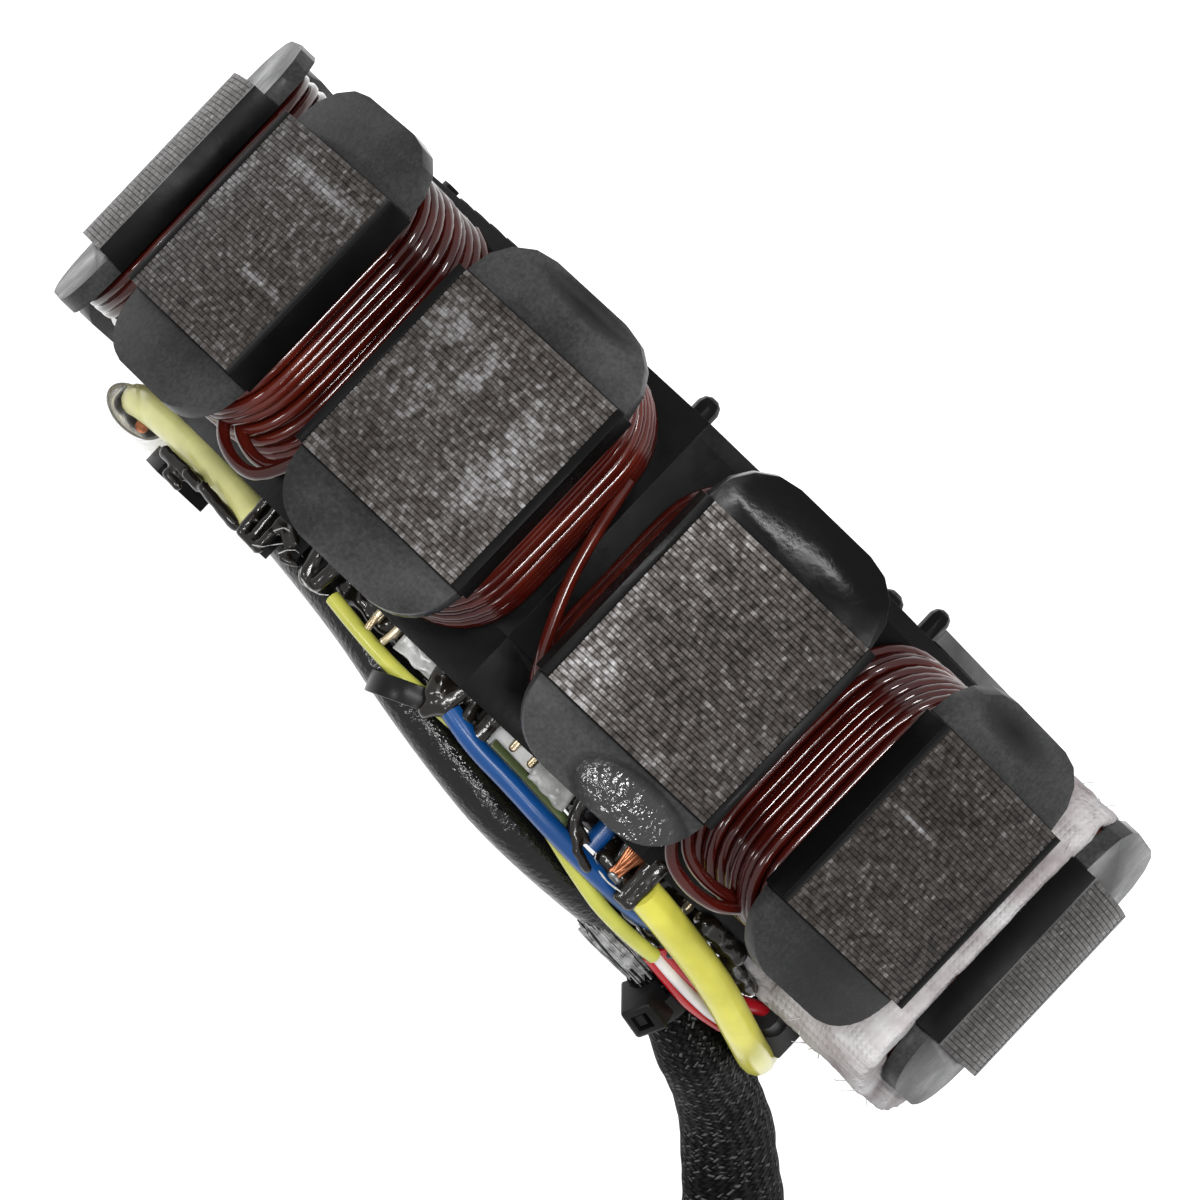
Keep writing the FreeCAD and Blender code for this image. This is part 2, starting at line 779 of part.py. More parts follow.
def lead_connector():
    """A generic four-way plug: housing with a stepped nose, a latch and its wire ways."""
    low = -braid_diameter / 2
    high = low + plug_height
    start, end = seal_length, seal_length + plug_length
    half = plug_width / 2
    shell_end = end - plug_nose_length
    step = plug_nose_step
    housing = box(start, shell_end, -half, half, low, high)
    housing = housing.makeChamfer(plug_wall_edge, [e for e in housing.Edges if e.Length < plug_width])
    nose = box(shell_end - 1, end, -half + step, half - step, low + step, high - step)
    latch_half = latch_width / 2
    latch_low = high - latch_root
    latch_end = end - latch_margin
    latch = box(start + latch_margin, latch_end, -latch_half, latch_half, latch_low, high + latch_thickness)
    gap = box(start + 2 * latch_margin, end, -half, half, high - latch_gap, high + fit)
    body = housing.fuse([nose, latch.cut(gap)])
    way_pitch = (plug_width - 2 * step) / plug_ways
    centre = low + plug_height / 2
    for way in range(plug_ways):
        middle = -half + step + (way + 0.5) * way_pitch
        room = box(end - way_depth, end + 1, middle - way_width / 2, middle + way_width / 2,
                   centre - way_height / 2, centre + way_height / 2)
        body = body.cut(room)
    return along_lead(body.removeSplitter())


def paper_flap():
    """The varnished insulating paper that stands up behind the ledge on the upper side."""
    low, high = upper_plate_face + fit, upper_rim + flap_reach
    half = flap_width / 2
    face = wall_inner - ledge_depth - fit
    sheet = box(flap_offset - half, flap_offset + half, low, high, face - flap_thickness, face)
    return turned(sheet, ledge_angle)


builders = {
    "laminated_core": laminated_core,
    "core_rivets": core_rivets,
    "upper_insulator": upper_insulator,
    "lower_insulator": lower_insulator,
    "exciter_coil": exciter_coil,
    "cloth_wrap": cloth_wrap,
    "terminal_pins": terminal_pins,
    "terminal_plates": terminal_plates,
    "yellow_sleeve_a": yellow_sleeve_a,
    "clear_sleeve": clear_sleeve,
    "yellow_sleeve_b": yellow_sleeve_b,
    "thin_yellow_lead": thin_yellow_lead,
    "blue_lead": blue_lead,
    "green_lead": green_lead,
    "white_lead": white_lead,
    "red_lead": red_lead,
    "lead_grommet": lead_grommet,
    "lead_guide": lead_guide,
    "blue_terminal": blue_terminal,
    "solder_joint": solder_joint,
    "bundle_tube": bundle_tube,
    "bundle_tie": bundle_tie,
    "sleeve_tie": sleeve_tie,
    "braided_sleeve": braided_sleeve,
    "connector_seal": connector_seal,
    "lead_connector": lead_connector,
    "paper_flap": paper_flap,
}


def main():
    os.makedirs("parts", exist_ok=True)
    shapes = {name: build() for name, build in builders.items()}
    coil = heavy_coil()
    number = 0
    for angle in pole_angles:
        if angle == exciter_angle:
            continue
        number += 1
        shapes[f"coil_{number:02d}"] = turned(coil, angle)
    for name, shape in shapes.items():
        shape.exportStep(f"parts/{name}.step")
    print(f"{len(shapes)} nodes, floor at {floor_height:.2f}")


main()
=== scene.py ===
# %% [markdown]
# A wound stator of a small engine's generator, dressed for a close photograph. The CAD model gives
# every size and place. Here each piece gets its real surface: grooves between the laminations,
# single turns of enamelled wire, varnished mouldings, woven cloth and braid, and soft studio light.

# %% Load the CAD model as a fixed frame
import math
import random

import bmesh
import bpy
from mathutils import Matrix, Vector, noise


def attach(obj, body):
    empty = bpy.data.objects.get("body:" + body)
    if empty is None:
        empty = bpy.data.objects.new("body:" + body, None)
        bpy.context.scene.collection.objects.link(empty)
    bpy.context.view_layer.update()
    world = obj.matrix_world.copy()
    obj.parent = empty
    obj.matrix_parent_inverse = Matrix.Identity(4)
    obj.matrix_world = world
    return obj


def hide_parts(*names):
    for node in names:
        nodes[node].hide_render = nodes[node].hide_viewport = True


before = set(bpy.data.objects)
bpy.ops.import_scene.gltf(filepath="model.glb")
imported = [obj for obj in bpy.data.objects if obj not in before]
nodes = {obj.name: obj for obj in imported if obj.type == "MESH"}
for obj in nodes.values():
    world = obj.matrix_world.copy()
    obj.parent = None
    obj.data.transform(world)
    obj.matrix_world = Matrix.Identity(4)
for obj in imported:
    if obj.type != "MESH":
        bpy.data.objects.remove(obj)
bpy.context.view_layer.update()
mm = 0.001
print("CAD nodes:", len(nodes))

# %% [markdown]
# The sizes that the dressing shares with the model. Lengths are in millimetres, as a designer
# states them, and become metres where a mesh is made. The stator's axis is Y. Each pole is drawn
# upright, with its height along Z, and is then turned about Y.

# %% Sizes shared with the model
pole_count = 12
stack_length = 21.0
lamination = 0.5
wall_inner = 41.55
lower_rim = -16.7
barrel_half = 5.8
barrel_end = 11.55
window_bottom = 42.65
window_top = 55.05
coil_side_depth = 4.85
coil_end_depth = 3.4
coil_corner = 7.4
wire_diameter = 1.22
turns_deep = 10
exciter_angle = 75.0
floor_height = -58.71
pole_angles = [30.0 * index + 15.0 for index in range(pole_count)]
coil_angles = [angle for angle in pole_angles if angle != exciter_angle]


def about_axis(angle):
    """The turn that carries an upright pole to its place on the ring."""
    return Matrix.Rotation(math.radians(angle), 4, "Y")


def metres(x, y, z):
    return Vector((x, y, z)) * mm


def rim_point(angle, out, reach):
    """A point by the lower rim, in metres: angle, distance out from the wall, reach past the rim."""
    turn = math.radians(angle)
    radius = (wall_inner + out) * mm
    return Vector((radius * math.sin(turn), (lower_rim - reach) * mm, radius * math.cos(turn)))


print("poles:", len(pole_angles), "heavy coils:", len(coil_angles))

# %% [markdown]
# Every finish is a small node tree. These helpers keep each tree short: one adds a node with its
# values, one joins two sockets, one does a step of arithmetic, and one makes the material with its
# surface shader. A socket knows its own tree, so a tree is named only where nothing is joined yet.
# Dark plastic looks grey if it mirrors a white room too well, so the mirror level starts low.


# %% Helpers for finishes
def add(tree, kind, inputs=None, **settings):
    node = tree.nodes.new(kind)
    for name, value in settings.items():
        setattr(node, name, value)
    for name, value in (inputs or {}).items():
        node.inputs[name].default_value = value
    return node


def join(start, end):
    start.id_data.links.new(start, end)


def calculate(operation, *values, clamp=False):
    """One step of arithmetic on sockets and plain numbers."""
    tree = next(value.id_data for value in values if not isinstance(value, (int, float)))
    step = add(tree, "ShaderNodeMath", operation=operation, use_clamp=clamp)
    for socket, value in zip(step.inputs, values):
        if isinstance(value, (int, float)):
            socket.default_value = value
        else:
            join(value, socket)
    return step.outputs["Value"]


def new_finish(name, colour, roughness, metallic=0.0, mirror=0.25):
    finish = bpy.data.materials.new(name)
    finish.use_nodes = True
    finish.node_tree.nodes.clear()
    surface = add(finish.node_tree, "ShaderNodeBsdfPrincipled", {
        "Base Color": (*colour, 1.0), "Roughness": roughness, "Metallic": metallic,
        "Specular IOR Level": mirror})
    output = add(finish.node_tree, "ShaderNodeOutputMaterial")
    join(surface.outputs["BSDF"], output.inputs["Surface"])
    return finish, surface


# %% [markdown]
# Patterns are placed on the object's own coordinates, in metres. A pole can be turned upright
# first, so that a pattern or a patch is stated in the pole's own width, length and height.


# %% Helpers for patterns
def place_on_object(finish, turn=0.0):
    """Object coordinates, turned about the stator's axis."""
    coords = add(finish.node_tree, "ShaderNodeTexCoord")
    turned = add(finish.node_tree, "ShaderNodeMapping", {"Rotation": (0.0, math.radians(turn), 0.0)})
    join(coords.outputs["Object"], turned.inputs["Vector"])
    return turned.outputs["Vector"]


def three_ways(place):
    """The X, Y and Z of a place, each as a socket."""
    ways = add(place.id_data, "ShaderNodeSeparateXYZ")
    join(place, ways.inputs["Vector"])
    return ways.outputs


def speckle(place, scale, detail=4.0, roughness=0.55):
    settings = {"Scale": scale, "Detail": detail, "Roughness": roughness}
    grain = add(place.id_data, "ShaderNodeTexNoise", settings)
    join(place, grain.inputs["Vector"])
    return grain.outputs["Fac"]


def patch(finish, pole_angle, centre, reach):
    """A soft spot on one pole: 1 at its centre and 0 at its reach, both in mm."""
    scale = [1.0 / (size * mm) for size in reach]
    offset = [-middle / size for middle, size in zip(centre, reach)]
    spot = add(finish.node_tree, "ShaderNodeMapping", {"Location": offset, "Scale": scale})
    join(place_on_object(finish, turn=-pole_angle), spot.inputs["Vector"])
    ball = add(finish.node_tree, "ShaderNodeTexGradient", gradient_type="SPHERICAL")
    join(spot.outputs["Vector"], ball.inputs["Vector"])
    return ball.outputs["Fac"]


def patches(finish, spots):
    """The sum of soft spots, each with its own strength."""
    total = None
    for pole_angle, centre, reach, strength in spots:
        spot = calculate("MULTIPLY", patch(finish, pole_angle, centre, reach), strength)
        total = spot if total is None else calculate("ADD", total, spot)
    return total


# %% [markdown]
# A pattern's level becomes a colour or a roughness through a ramp, and becomes fine relief through
# a bump whose depth is stated in millimetres.


# %% Helpers for colour and relief
def ramp(value, stops):
    """A colour for each level of a value, from pairs of level and colour."""
    colours = add(value.id_data, "ShaderNodeValToRGB")
    elements = colours.color_ramp.elements
    elements[0].position, elements[0].color = stops[0][0], (*stops[0][1], 1.0)
    elements[1].position, elements[1].color = stops[-1][0], (*stops[-1][1], 1.0)
    for level, colour in stops[1:-1]:
        elements.new(level).color = (*colour, 1.0)
    join(value, colours.inputs["Fac"])
    return colours.outputs["Color"]


def grey(level):
    return (level, level, level)


def relief(surface, height, depth, strength=1.0):
    """Fine relief of a depth in millimetres from a height between 0 and 1."""
    bump = add(surface.id_data, "ShaderNodeBump", {"Strength": strength, "Distance": depth * mm})
    join(height, bump.inputs["Height"])
    join(bump.outputs["Normal"], surface.inputs["Normal"])


def dress(piece, finish):
    piece.data.materials.clear()
    piece.data.materials.append(finish)


def mottled(name, dark, light, roughness, metallic=0.0, mirror=0.25, scale=160.0, grain=600.0):
    """A finish between two colours in soft blotches, with its roughness varied and a fine grain."""
    finish, surface = new_finish(name, light, roughness, metallic, mirror)
    place = place_on_object(finish)
    blotch = speckle(place, scale, 4.0)
    join(ramp(blotch, [(0.35, dark), (0.65, light)]), surface.inputs["Base Color"])
    rough = ramp(blotch, [(0.3, grey(roughness * 0.75)), (0.7, grey(min(1.0, roughness * 1.25)))])
    join(rough, surface.inputs["Roughness"])
    relief(surface, speckle(place, grain, 3.0), 0.02, 0.5)
    return finish


# %% [markdown]
# The camera stands almost straight over the stator, far off with a long lens, and is rolled so
# that the stator's axis runs from the lower left to the upper right, as in the photograph.

# %% Camera
camera_place = Vector((31.637, -8.014, 574.239)) * mm
camera_target = Vector((1.411, -1.970, 0.0)) * mm
camera_up = Vector((-0.68587, 0.72640, 0.04375))
lens_length = 178.49

forward = (camera_target - camera_place).normalized()
side = forward.cross(camera_up).normalized()
upward = side.cross(forward)
stand = Matrix((side, upward, -forward)).transposed().to_4x4()
stand.translation = camera_place
camera_data = bpy.data.cameras.new("camera")
camera_data.lens = lens_length
camera_data.sensor_width = 36.0
camera = bpy.data.objects.new("camera", camera_data)
camera.matrix_world = stand
bpy.context.scene.collection.objects.link(camera)
bpy.context.scene.camera = camera
bpy.context.scene.view_settings.view_transform = "Standard"

# %% [markdown]
# A pale floor under soft light. To the camera, and in reflections, floor and world are white; the
# floor adds its own lit surface to that, so only the deepest shadow shows on it.


# %% World
def white_to_the_eye(tree):
    """1 for rays from the camera, off gloss or through glass, and 0 for the rest."""
    rays = add(tree, "ShaderNodeLightPath").outputs
    seen = calculate("MAXIMUM", rays["Is Camera Ray"], rays["Is Glossy Ray"])
    return calculate("MAXIMUM", seen, rays["Is Transmission Ray"])


world = bpy.data.worlds.new("studio")
bpy.context.scene.world = world
world.use_nodes = True
world_tree = world.node_tree
world_tree.nodes.clear()
ambient = add(world_tree, "ShaderNodeBackground", {"Color": (0.96, 0.98, 1.0, 1.0), "Strength": 0.45})
backdrop = add(world_tree, "ShaderNodeBackground", {"Strength": 1.0})
choose = add(world_tree, "ShaderNodeMixShader")
join(white_to_the_eye(world_tree), choose.inputs["Fac"])
join(ambient.outputs["Background"], choose.inputs[1])
join(backdrop.outputs["Background"], choose.inputs[2])
join(choose.outputs["Shader"], add(world_tree, "ShaderNodeOutputWorld").inputs["Surface"])


# %% Floor
def placed(name, data, finish=None):
    """An object of mesh or curve data, in its finish."""
    piece = bpy.data.objects.new(name, data)
    bpy.context.scene.collection.objects.link(piece)
    if finish:
        data.materials.append(finish)
    return piece


def finished(name, mesh, finish, smooth=True):
    """A new piece from a bmesh, in its finish."""
    data = bpy.data.meshes.new(name)
    mesh.to_mesh(data)
    mesh.free()
    data.polygons.foreach_set("use_smooth", [smooth] * len(data.polygons))
    return placed(name, data, finish)


pale_floor, floor_surface = new_finish("pale_floor", grey(0.8), 0.9)
floor_tree = pale_floor.node_tree
dark = add(floor_tree, "ShaderNodeEmission", {"Strength": 0.0})
glow = add(floor_tree, "ShaderNodeEmission", {"Strength": 0.62})
shown = add(floor_tree, "ShaderNodeMixShader")
both = add(floor_tree, "ShaderNodeAddShader")
join(white_to_the_eye(floor_tree), shown.inputs["Fac"])
join(dark.outputs["Emission"], shown.inputs[1])
join(glow.outputs["Emission"], shown.inputs[2])
join(floor_surface.outputs["BSDF"], both.inputs[0])
join(shown.outputs["Shader"], both.inputs[1])
floor_output = next(node for node in floor_tree.nodes if node.type == "OUTPUT_MATERIAL")
join(both.outputs["Shader"], floor_output.inputs["Surface"])

floor_mesh = bmesh.new()
bmesh.ops.create_grid(floor_mesh, x_segments=1, y_segments=1, size=2.0)
bmesh.ops.translate(floor_mesh, verts=floor_mesh.verts, vec=(0.0, 0.0, floor_height * mm))
floor = finished("floor", floor_mesh, pale_floor, smooth=False)

# %% [markdown]
# Four lamps. A long narrow one lies along the stator's axis and draws the thin bright lines on the
# wires. A square one beyond the far side gives leads and edges their highlights, a weak one fills
# from the lead side, and the weakest glints in wet varnish. Small lamps keep such gloss sharp.


# %% Lamps
def soft_box(name, place, width, length, watts):
    lamp_data = bpy.data.lights.new(name, "AREA")
    lamp_data.shape = "RECTANGLE"
    lamp_data.size = width
    lamp_data.size_y = length
    lamp_data.energy = watts
    lamp = bpy.data.objects.new(name, lamp_data)
    lamp.location = place
    lamp.rotation_euler = (-Vector(place)).to_track_quat("-Z", "Y").to_euler()
    bpy.context.scene.collection.objects.link(lamp)


soft_box("wire_strip", (0.09, 0.03, 0.62), width=0.016, length=0.50, watts=2.5)
soft_box("key_box", (0.06, 0.32, 0.56), width=0.10, length=0.10, watts=1.3)
soft_box("fill_box", (-0.32, -0.30, 0.50), width=0.10, length=0.10, watts=0.7)
soft_box("glint_box", (0.30, -0.15, 0.56), width=0.05, length=0.05, watts=0.35)

# %% [markdown]
# Small mesh helpers. A CAD mesh is loose triangles, so a copy is merged and its flat faces are
# joined again before its edges can be rounded.


# %% Helpers for meshes
def merged_copy(node):
    """A copy of a CAD node's mesh with its triangles joined and its flat faces whole."""
    mesh = bmesh.new()
    mesh.from_mesh(nodes[node].data)
    bmesh.ops.remove_doubles(mesh, verts=mesh.verts, dist=0.002 * mm)
    bmesh.ops.dissolve_limit(mesh, angle_limit=math.radians(1.0), verts=mesh.verts, edges=mesh.edges)
    return mesh


def bevel(mesh, edges, width, segments=2, **more):
    bmesh.ops.bevel(mesh, geom=edges, offset=width * mm, offset_type="OFFSET", segments=segments,
                    profile=0.5, affect="EDGES", material=-1, **more)


def upright_edges(mesh):
    return [edge for edge in mesh.edges if abs(edge.verts[0].co.z - edge.verts[1].co.z) > mm]


def round_edges(mesh, width, sharpness=30.0):
    sharp = [edge for edge in mesh.edges
             if edge.is_manifold and edge.calc_face_angle(0.0) > math.radians(sharpness)]
    bevel(mesh, sharp, width, clamp_overlap=True)


def stands_for(piece, *replaced, slot=None):
    """The piece rides with the stator and takes the place of CAD nodes; its slot is not used."""
    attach(piece, "root")
    if replaced:
        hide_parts(*replaced)
    return piece


def sharp_by_angle(piece):
    """The piece, smooth but for its sharp edges."""
    piece.data.set_sharp_from_angle(angle=math.radians(35.0))
    return piece


def softened(node, name, width, finish, slot):
    """A CAD node's mesh with its edges rounded, in its finish."""
    mesh = merged_copy(node)
    round_edges(mesh, width)
    return sharp_by_angle(stands_for(finished(name, mesh, finish), node, slot=slot))


def one_skin(piece, fineness, passes):
    """The piece remeshed to one even skin, smoothed in some passes, with its modifiers worked in."""
    skin = piece.modifiers.new("skin", "REMESH")
    skin.mode = "VOXEL"
    skin.voxel_size = fineness * mm
    softer = piece.modifiers.new("softer", "SMOOTH")
    softer.factor = 0.5
    softer.iterations = passes
    graph = bpy.context.evaluated_depsgraph_get()
    data = bpy.data.meshes.new_from_object(piece.evaluated_get(graph))
    piece.modifiers.clear()
    old = piece.data
    piece.data = data
    bpy.data.meshes.remove(old)
    data.polygons.foreach_set("use_smooth", [True] * len(data.polygons))


# %% [markdown]
# The core is 42 punched plates of oiled steel. On the pole faces each plate's edge shows as a row of
# short dark and light marks, so the pattern is counted off plate by plate along the axis. Brighter
# scuffs lie where tools and magnets rubbed.

# %% Steel of the laminations
core_steel, core_surface = new_finish("oiled_core_steel", grey(0.05), 0.5, metallic=0.35, mirror=0.3)
steel_place = place_on_object(core_steel)
steel_x, steel_y, steel_z = three_ways(steel_place)
plate_number = calculate("FLOOR", calculate("MULTIPLY", steel_y, 1.0 / (lamination * mm)))
marks_per_metre = 1250.0
shift_per_plate = 5.7
mark_place = add(core_steel.node_tree, "ShaderNodeCombineXYZ")
join(calculate("MULTIPLY", steel_x, marks_per_metre), mark_place.inputs["X"])
join(calculate("MULTIPLY", plate_number, shift_per_plate), mark_place.inputs["Y"])
join(calculate("MULTIPLY", steel_z, marks_per_metre), mark_place.inputs["Z"])
plate_marks = speckle(mark_place.outputs["Vector"], 1.0, 3.0, 0.65)
blotches = speckle(steel_place, 130.0, 5.0, 0.6)
fine_marks = speckle(steel_place, 1600.0, 3.0, 0.6)
print("steel patterns ready")

# %% [markdown]
# Scuffs are soft spots: the pole's angle, the centre and the reach in its own width, length and
# height, and a strength. A negative one darkens its face. The last four spots each cover a whole
# face: painted shade on three faces and painted light on one.

# %% Scuffs and colours of the steel
scuffs_and_painted_face_shade = patches(core_steel, [
    (-45.0, (2.5, 7.4, 59.0), (9.0, 1.3, 4.0), 0.42), (-45.0, (4.5, -2.7, 59.0), (6.0, 0.9, 4.0), 0.34),
    (-45.0, (-8.6, 4.0, 59.0), (1.6, 8.0, 4.0), 0.20), (-15.0, (-1.6, 5.0, 59.0), (1.6, 6.5, 4.0), 0.30),
    (-15.0, (5.4, 1.0, 59.0), (2.6, 10.0, 4.0), 0.22), (-15.0, (-7.0, 6.5, 59.0), (3.4, 2.4, 4.0), 0.26),
    (15.0, (-7.5, -7.5, 59.0), (5.0, 6.5, 4.0), 0.22), (15.0, (-9.0, 0.0, 59.0), (1.8, 11.0, 4.0), 0.16),
    (15.0, (2.5, -9.7, 59.0), (3.0, 1.6, 4.0), 0.24), (45.0, (-5.5, 2.3, 59.0), (5.0, 0.5, 4.0), 0.5),
    # The four spots below cover whole faces: painted shade on three, painted light on the one at -15 degrees.
    (45.0, (2.0, 0.0, 59.0), (26.0, 26.0, 30.0), -0.12),
    (-15.0, (0.0, 0.0, 59.0), (20.0, 20.0, 8.0), 0.05),
    (15.0, (2.0, 0.0, 59.0), (22.0, 22.0, 12.0), -0.10),
    (75.0, (0.0, 0.0, 59.0), (26.0, 26.0, 30.0), -0.16)])
steel_level = calculate("MULTIPLY_ADD", plate_marks, 0.52, calculate("MULTIPLY", blotches, 0.18))
steel_level = calculate("MULTIPLY_ADD", fine_marks, 0.30, steel_level)
steel_level = calculate("MULTIPLY_ADD", scuffs_and_painted_face_shade, 0.42, steel_level)
steel_colour = ramp(steel_level, [
    (0.38, (0.010, 0.008, 0.007)), (0.46, (0.035, 0.029, 0.026)), (0.53, (0.063, 0.056, 0.052)),
    (0.60, (0.155, 0.147, 0.146)), (0.76, (0.36, 0.36, 0.37))])
join(steel_colour, core_surface.inputs["Base Color"])
join(ramp(steel_level, [(0.35, grey(0.62)), (0.7, grey(0.36))]), core_surface.inputs["Roughness"])
relief(core_surface, plate_marks, 0.035, 0.7)
print("steel finish nodes:", len(core_steel.node_tree.nodes))


# %% [markdown]
# Each joint between two plates is a real groove: the core is cut just beside and at every joint, and
# the points at the joint are drawn inwards. Real grooves catch the light at the slanted poles too.

# %% Grooves between the laminations
def plated_core():
    mesh = merged_copy("laminated_core")
    groove_half, groove_depth, near = 0.08, 0.10, 0.01
    joints = int(stack_length / lamination)
    for joint in range(1, joints):
        height = -stack_length / 2 + joint * lamination
        for offset in (-groove_half, 0.0, groove_half):
            everything = mesh.verts[:] + mesh.edges[:] + mesh.faces[:]
            bmesh.ops.bisect_plane(mesh, geom=everything, dist=0.0001 * mm,
                                   plane_co=(0.0, (height + offset) * mm, 0.0), plane_no=(0.0, 1.0, 0.0))
    mesh.normal_update()
    inward = {}
    for vert in mesh.verts:
        place = vert.co.y / mm + stack_length / 2
        joint = round(place / lamination)
        if 0 < joint < joints and abs(place - joint * lamination) < near:
            inward[vert] = vert.normal * groove_depth * mm
    for vert, step in inward.items():
        vert.co -= step
    return mesh


core = finished("core_plates", plated_core(), core_steel, smooth=False)
stands_for(core, "laminated_core", slot="core_steel")
print("core faces:", len(core.data.polygons))


# %% Rivets
rivet_steel = mottled("rivet_steel", grey(0.16), (0.36, 0.35, 0.34), 0.38, metallic=1.0, scale=300.0)
dress(nodes["core_rivets"], rivet_steel)

# %% [markdown]
# The two black mouldings carry the wires. Moulded nylon is nearly black with a fine grain, and the
# dipped stator has varnish on it: glossy in drifting patches, and pooled in shining drops on a few
# flanges. The outward faces of the flanges, which people touch, are dry and a little grey with dust.

# %% Black moulded nylon
bobbin_black, bobbin_surface = new_finish("bobbin_black", grey(0.004), 0.34, mirror=0.09)
bobbin_place = place_on_object(bobbin_black)
bobbin_x, bobbin_y, bobbin_z = three_ways(bobbin_place)


def beyond(value, low, high):
    """0 where a length is below a low, and 1 above a high, both in mm."""
    share = add(value.id_data, "ShaderNodeMapRange", {"From Min": low * mm, "From Max": high * mm})
    join(value, share.inputs["Value"])
    return share.outputs["Result"]


radius_square = calculate("MULTIPLY_ADD", bobbin_z, bobbin_z, calculate("MULTIPLY", bobbin_x, bobbin_x))
on_the_rim = beyond(calculate("SQRT", radius_square), 54.9, 56.0)
outward = calculate("MULTIPLY", on_the_rim, beyond(calculate("ABSOLUTE", bobbin_y), 10.55, 10.75))
print("the flanges' outward faces are found by radius and length")

# %% Wet and dusty places
gloss = speckle(bobbin_place, 90.0, 4.0, 0.6)
wet = patches(bobbin_black, [
    (15.0, (0.0, 15.5, 56.5), (16.0, 8.0, 8.0), 2.0), (15.0, (4.5, -14.2, 57.0), (7.5, 3.4, 5.0), 3.0),
    (45.0, (-2.0, 14.5, 57.0), (7.0, 2.0, 5.0), 0.8), (-15.0, (1.0, 15.4, 57.0), (7.0, 1.4, 5.0), 0.8),
    (45.0, (0.0, -13.5, 57.0), (12.0, 7.0, 6.0), 0.4)])
shine = patches(bobbin_black, [
    (15.0, (4.5, -14.2, 57.0), (7.0, 3.2, 5.0), 3.0), (15.0, (1.0, 15.6, 56.5), (9.0, 1.0, 5.0), 0.12),
    (-15.0, (1.0, 15.6, 57.0), (8.0, 0.8, 5.0), 0.5)])
dry = calculate("SUBTRACT", 1.0, wet, clamp=True)
fine_dust = calculate("MULTIPLY", speckle(bobbin_place, 2400.0, 3.0, 0.7), 0.5)
dusty = calculate("MULTIPLY", dry, calculate("MULTIPLY_ADD", gloss, 0.7, fine_dust))
bobbin_colour = ramp(calculate("MULTIPLY", outward, dusty),
                     [(0.05, grey(0.0032)), (0.5, grey(0.025)), (0.9, grey(0.072))])
join(bobbin_colour, bobbin_surface.inputs["Base Color"])
bobbin_rough = ramp(calculate("MULTIPLY_ADD", wet, -0.2, gloss),
                    [(0.30, grey(0.14)), (0.46, grey(0.30)), (0.66, grey(0.50))])
join(bobbin_rough, bobbin_surface.inputs["Roughness"])
join(ramp(shine, [(0.2, grey(0.09)), (1.0, grey(1.0))]), bobbin_surface.inputs["Specular IOR Level"])
beads = calculate("MULTIPLY", speckle(bobbin_place, 1000.0, 2.0), shine)
skin_grain = speckle(bobbin_place, 900.0, 3.0)
relief(bobbin_surface, calculate("MULTIPLY_ADD", skin_grain, 0.10, beads), 0.20)
print("moulding finish nodes:", len(bobbin_black.node_tree.nodes))


# %% Rounded edges on the mouldings
def rounder_moulding(node, name):
    """The flanges' cornered outlines are rounded first, and then the sharp edges."""
    longest, least_turn, most_turn = 4.0 * mm, 16.0, 28.0
    mesh = merged_copy(node)
    blunt = []
    for edge in mesh.edges:
        if edge.is_manifold and edge.is_convex and edge.calc_length() < longest:
            if least_turn < math.degrees(edge.calc_face_angle(0.0)) < most_turn:
                blunt.append(edge)
    bevel(mesh, blunt, width=0.9, clamp_overlap=True)
    round_edges(mesh, width=0.16)
    return sharp_by_angle(stands_for(finished(name, mesh, bobbin_black), node, slot="bobbin_black"))


upper_moulding = rounder_moulding("upper_insulator", "upper_moulding")
lower_moulding = rounder_moulding("lower_insulator", "lower_moulding")
print("moulding faces:", len(upper_moulding.data.polygons), len(lower_moulding.data.polygons))


# %% [markdown]
# The heavy coils. A real coil is one wire laid turn on turn, so the wire is a curve that runs
# round the bobbin and climbs at one end of each turn. Turns bulge at the sides and differ a
# little, and a second layer shows between them. A plain body fills the inside. The enamel is a
# deep red brown, so only the lamps' thin reflections are bright.

# %% Enamelled copper
enamelled_copper, copper_surface = new_finish("enamelled_copper", (0.09, 0.010, 0.006), 0.12, mirror=0.50)
copper_place = place_on_object(enamelled_copper)
copper_tone = speckle(copper_place, 70.0, 3.0)
copper_colour = ramp(copper_tone, [
    (0.32, (0.018, 0.0015, 0.0010)), (0.52, (0.046, 0.0040, 0.0024)), (0.72, (0.10, 0.011, 0.005))])
join(copper_colour, copper_surface.inputs["Base Color"])
join(ramp(copper_tone, [(0.3, grey(0.07)), (0.7, grey(0.17))]), copper_surface.inputs["Roughness"])
relief(copper_surface, speckle(copper_place, 420.0, 2.0), 0.03, 0.5)
dark_copper = mottled("copper_in_shade", (0.008, 0.002, 0.002), (0.030, 0.005, 0.004), 0.5, mirror=0.15)


# %% The outline of one turn
def turn_outline(half_left, half_right, half_length, corner, bow):
    """Points round one turn, from the middle of the far end, bowed out at the sides."""
    points = []
    for side_u, side_y, start in ((1, 1, 90), (1, -1, 0), (-1, -1, -90), (-1, 1, -180)):
        half_width = half_right if side_u > 0 else half_left
        for step in range(5):
            turn = math.radians(start - 22.5 * step)
            u = side_u * (half_width - corner) + corner * math.cos(turn)
            y = side_y * (half_length - corner) + corner * math.sin(turn)
            points.append((u, y))
        if side_y == side_u:
            for share in (0.6, 0.2, -0.2, -0.6):
                points.append((half_width * side_u, side_y * share * (half_length - corner)))
    bowed = []
    for u, y in points:
        middle = max(0.0, 1.0 - (y / half_length) ** 2)
        reach = min(1.0, abs(u) / max(half_left, half_right))
        bowed.append((u + math.copysign(bow * middle * reach, u), y))
    return bowed


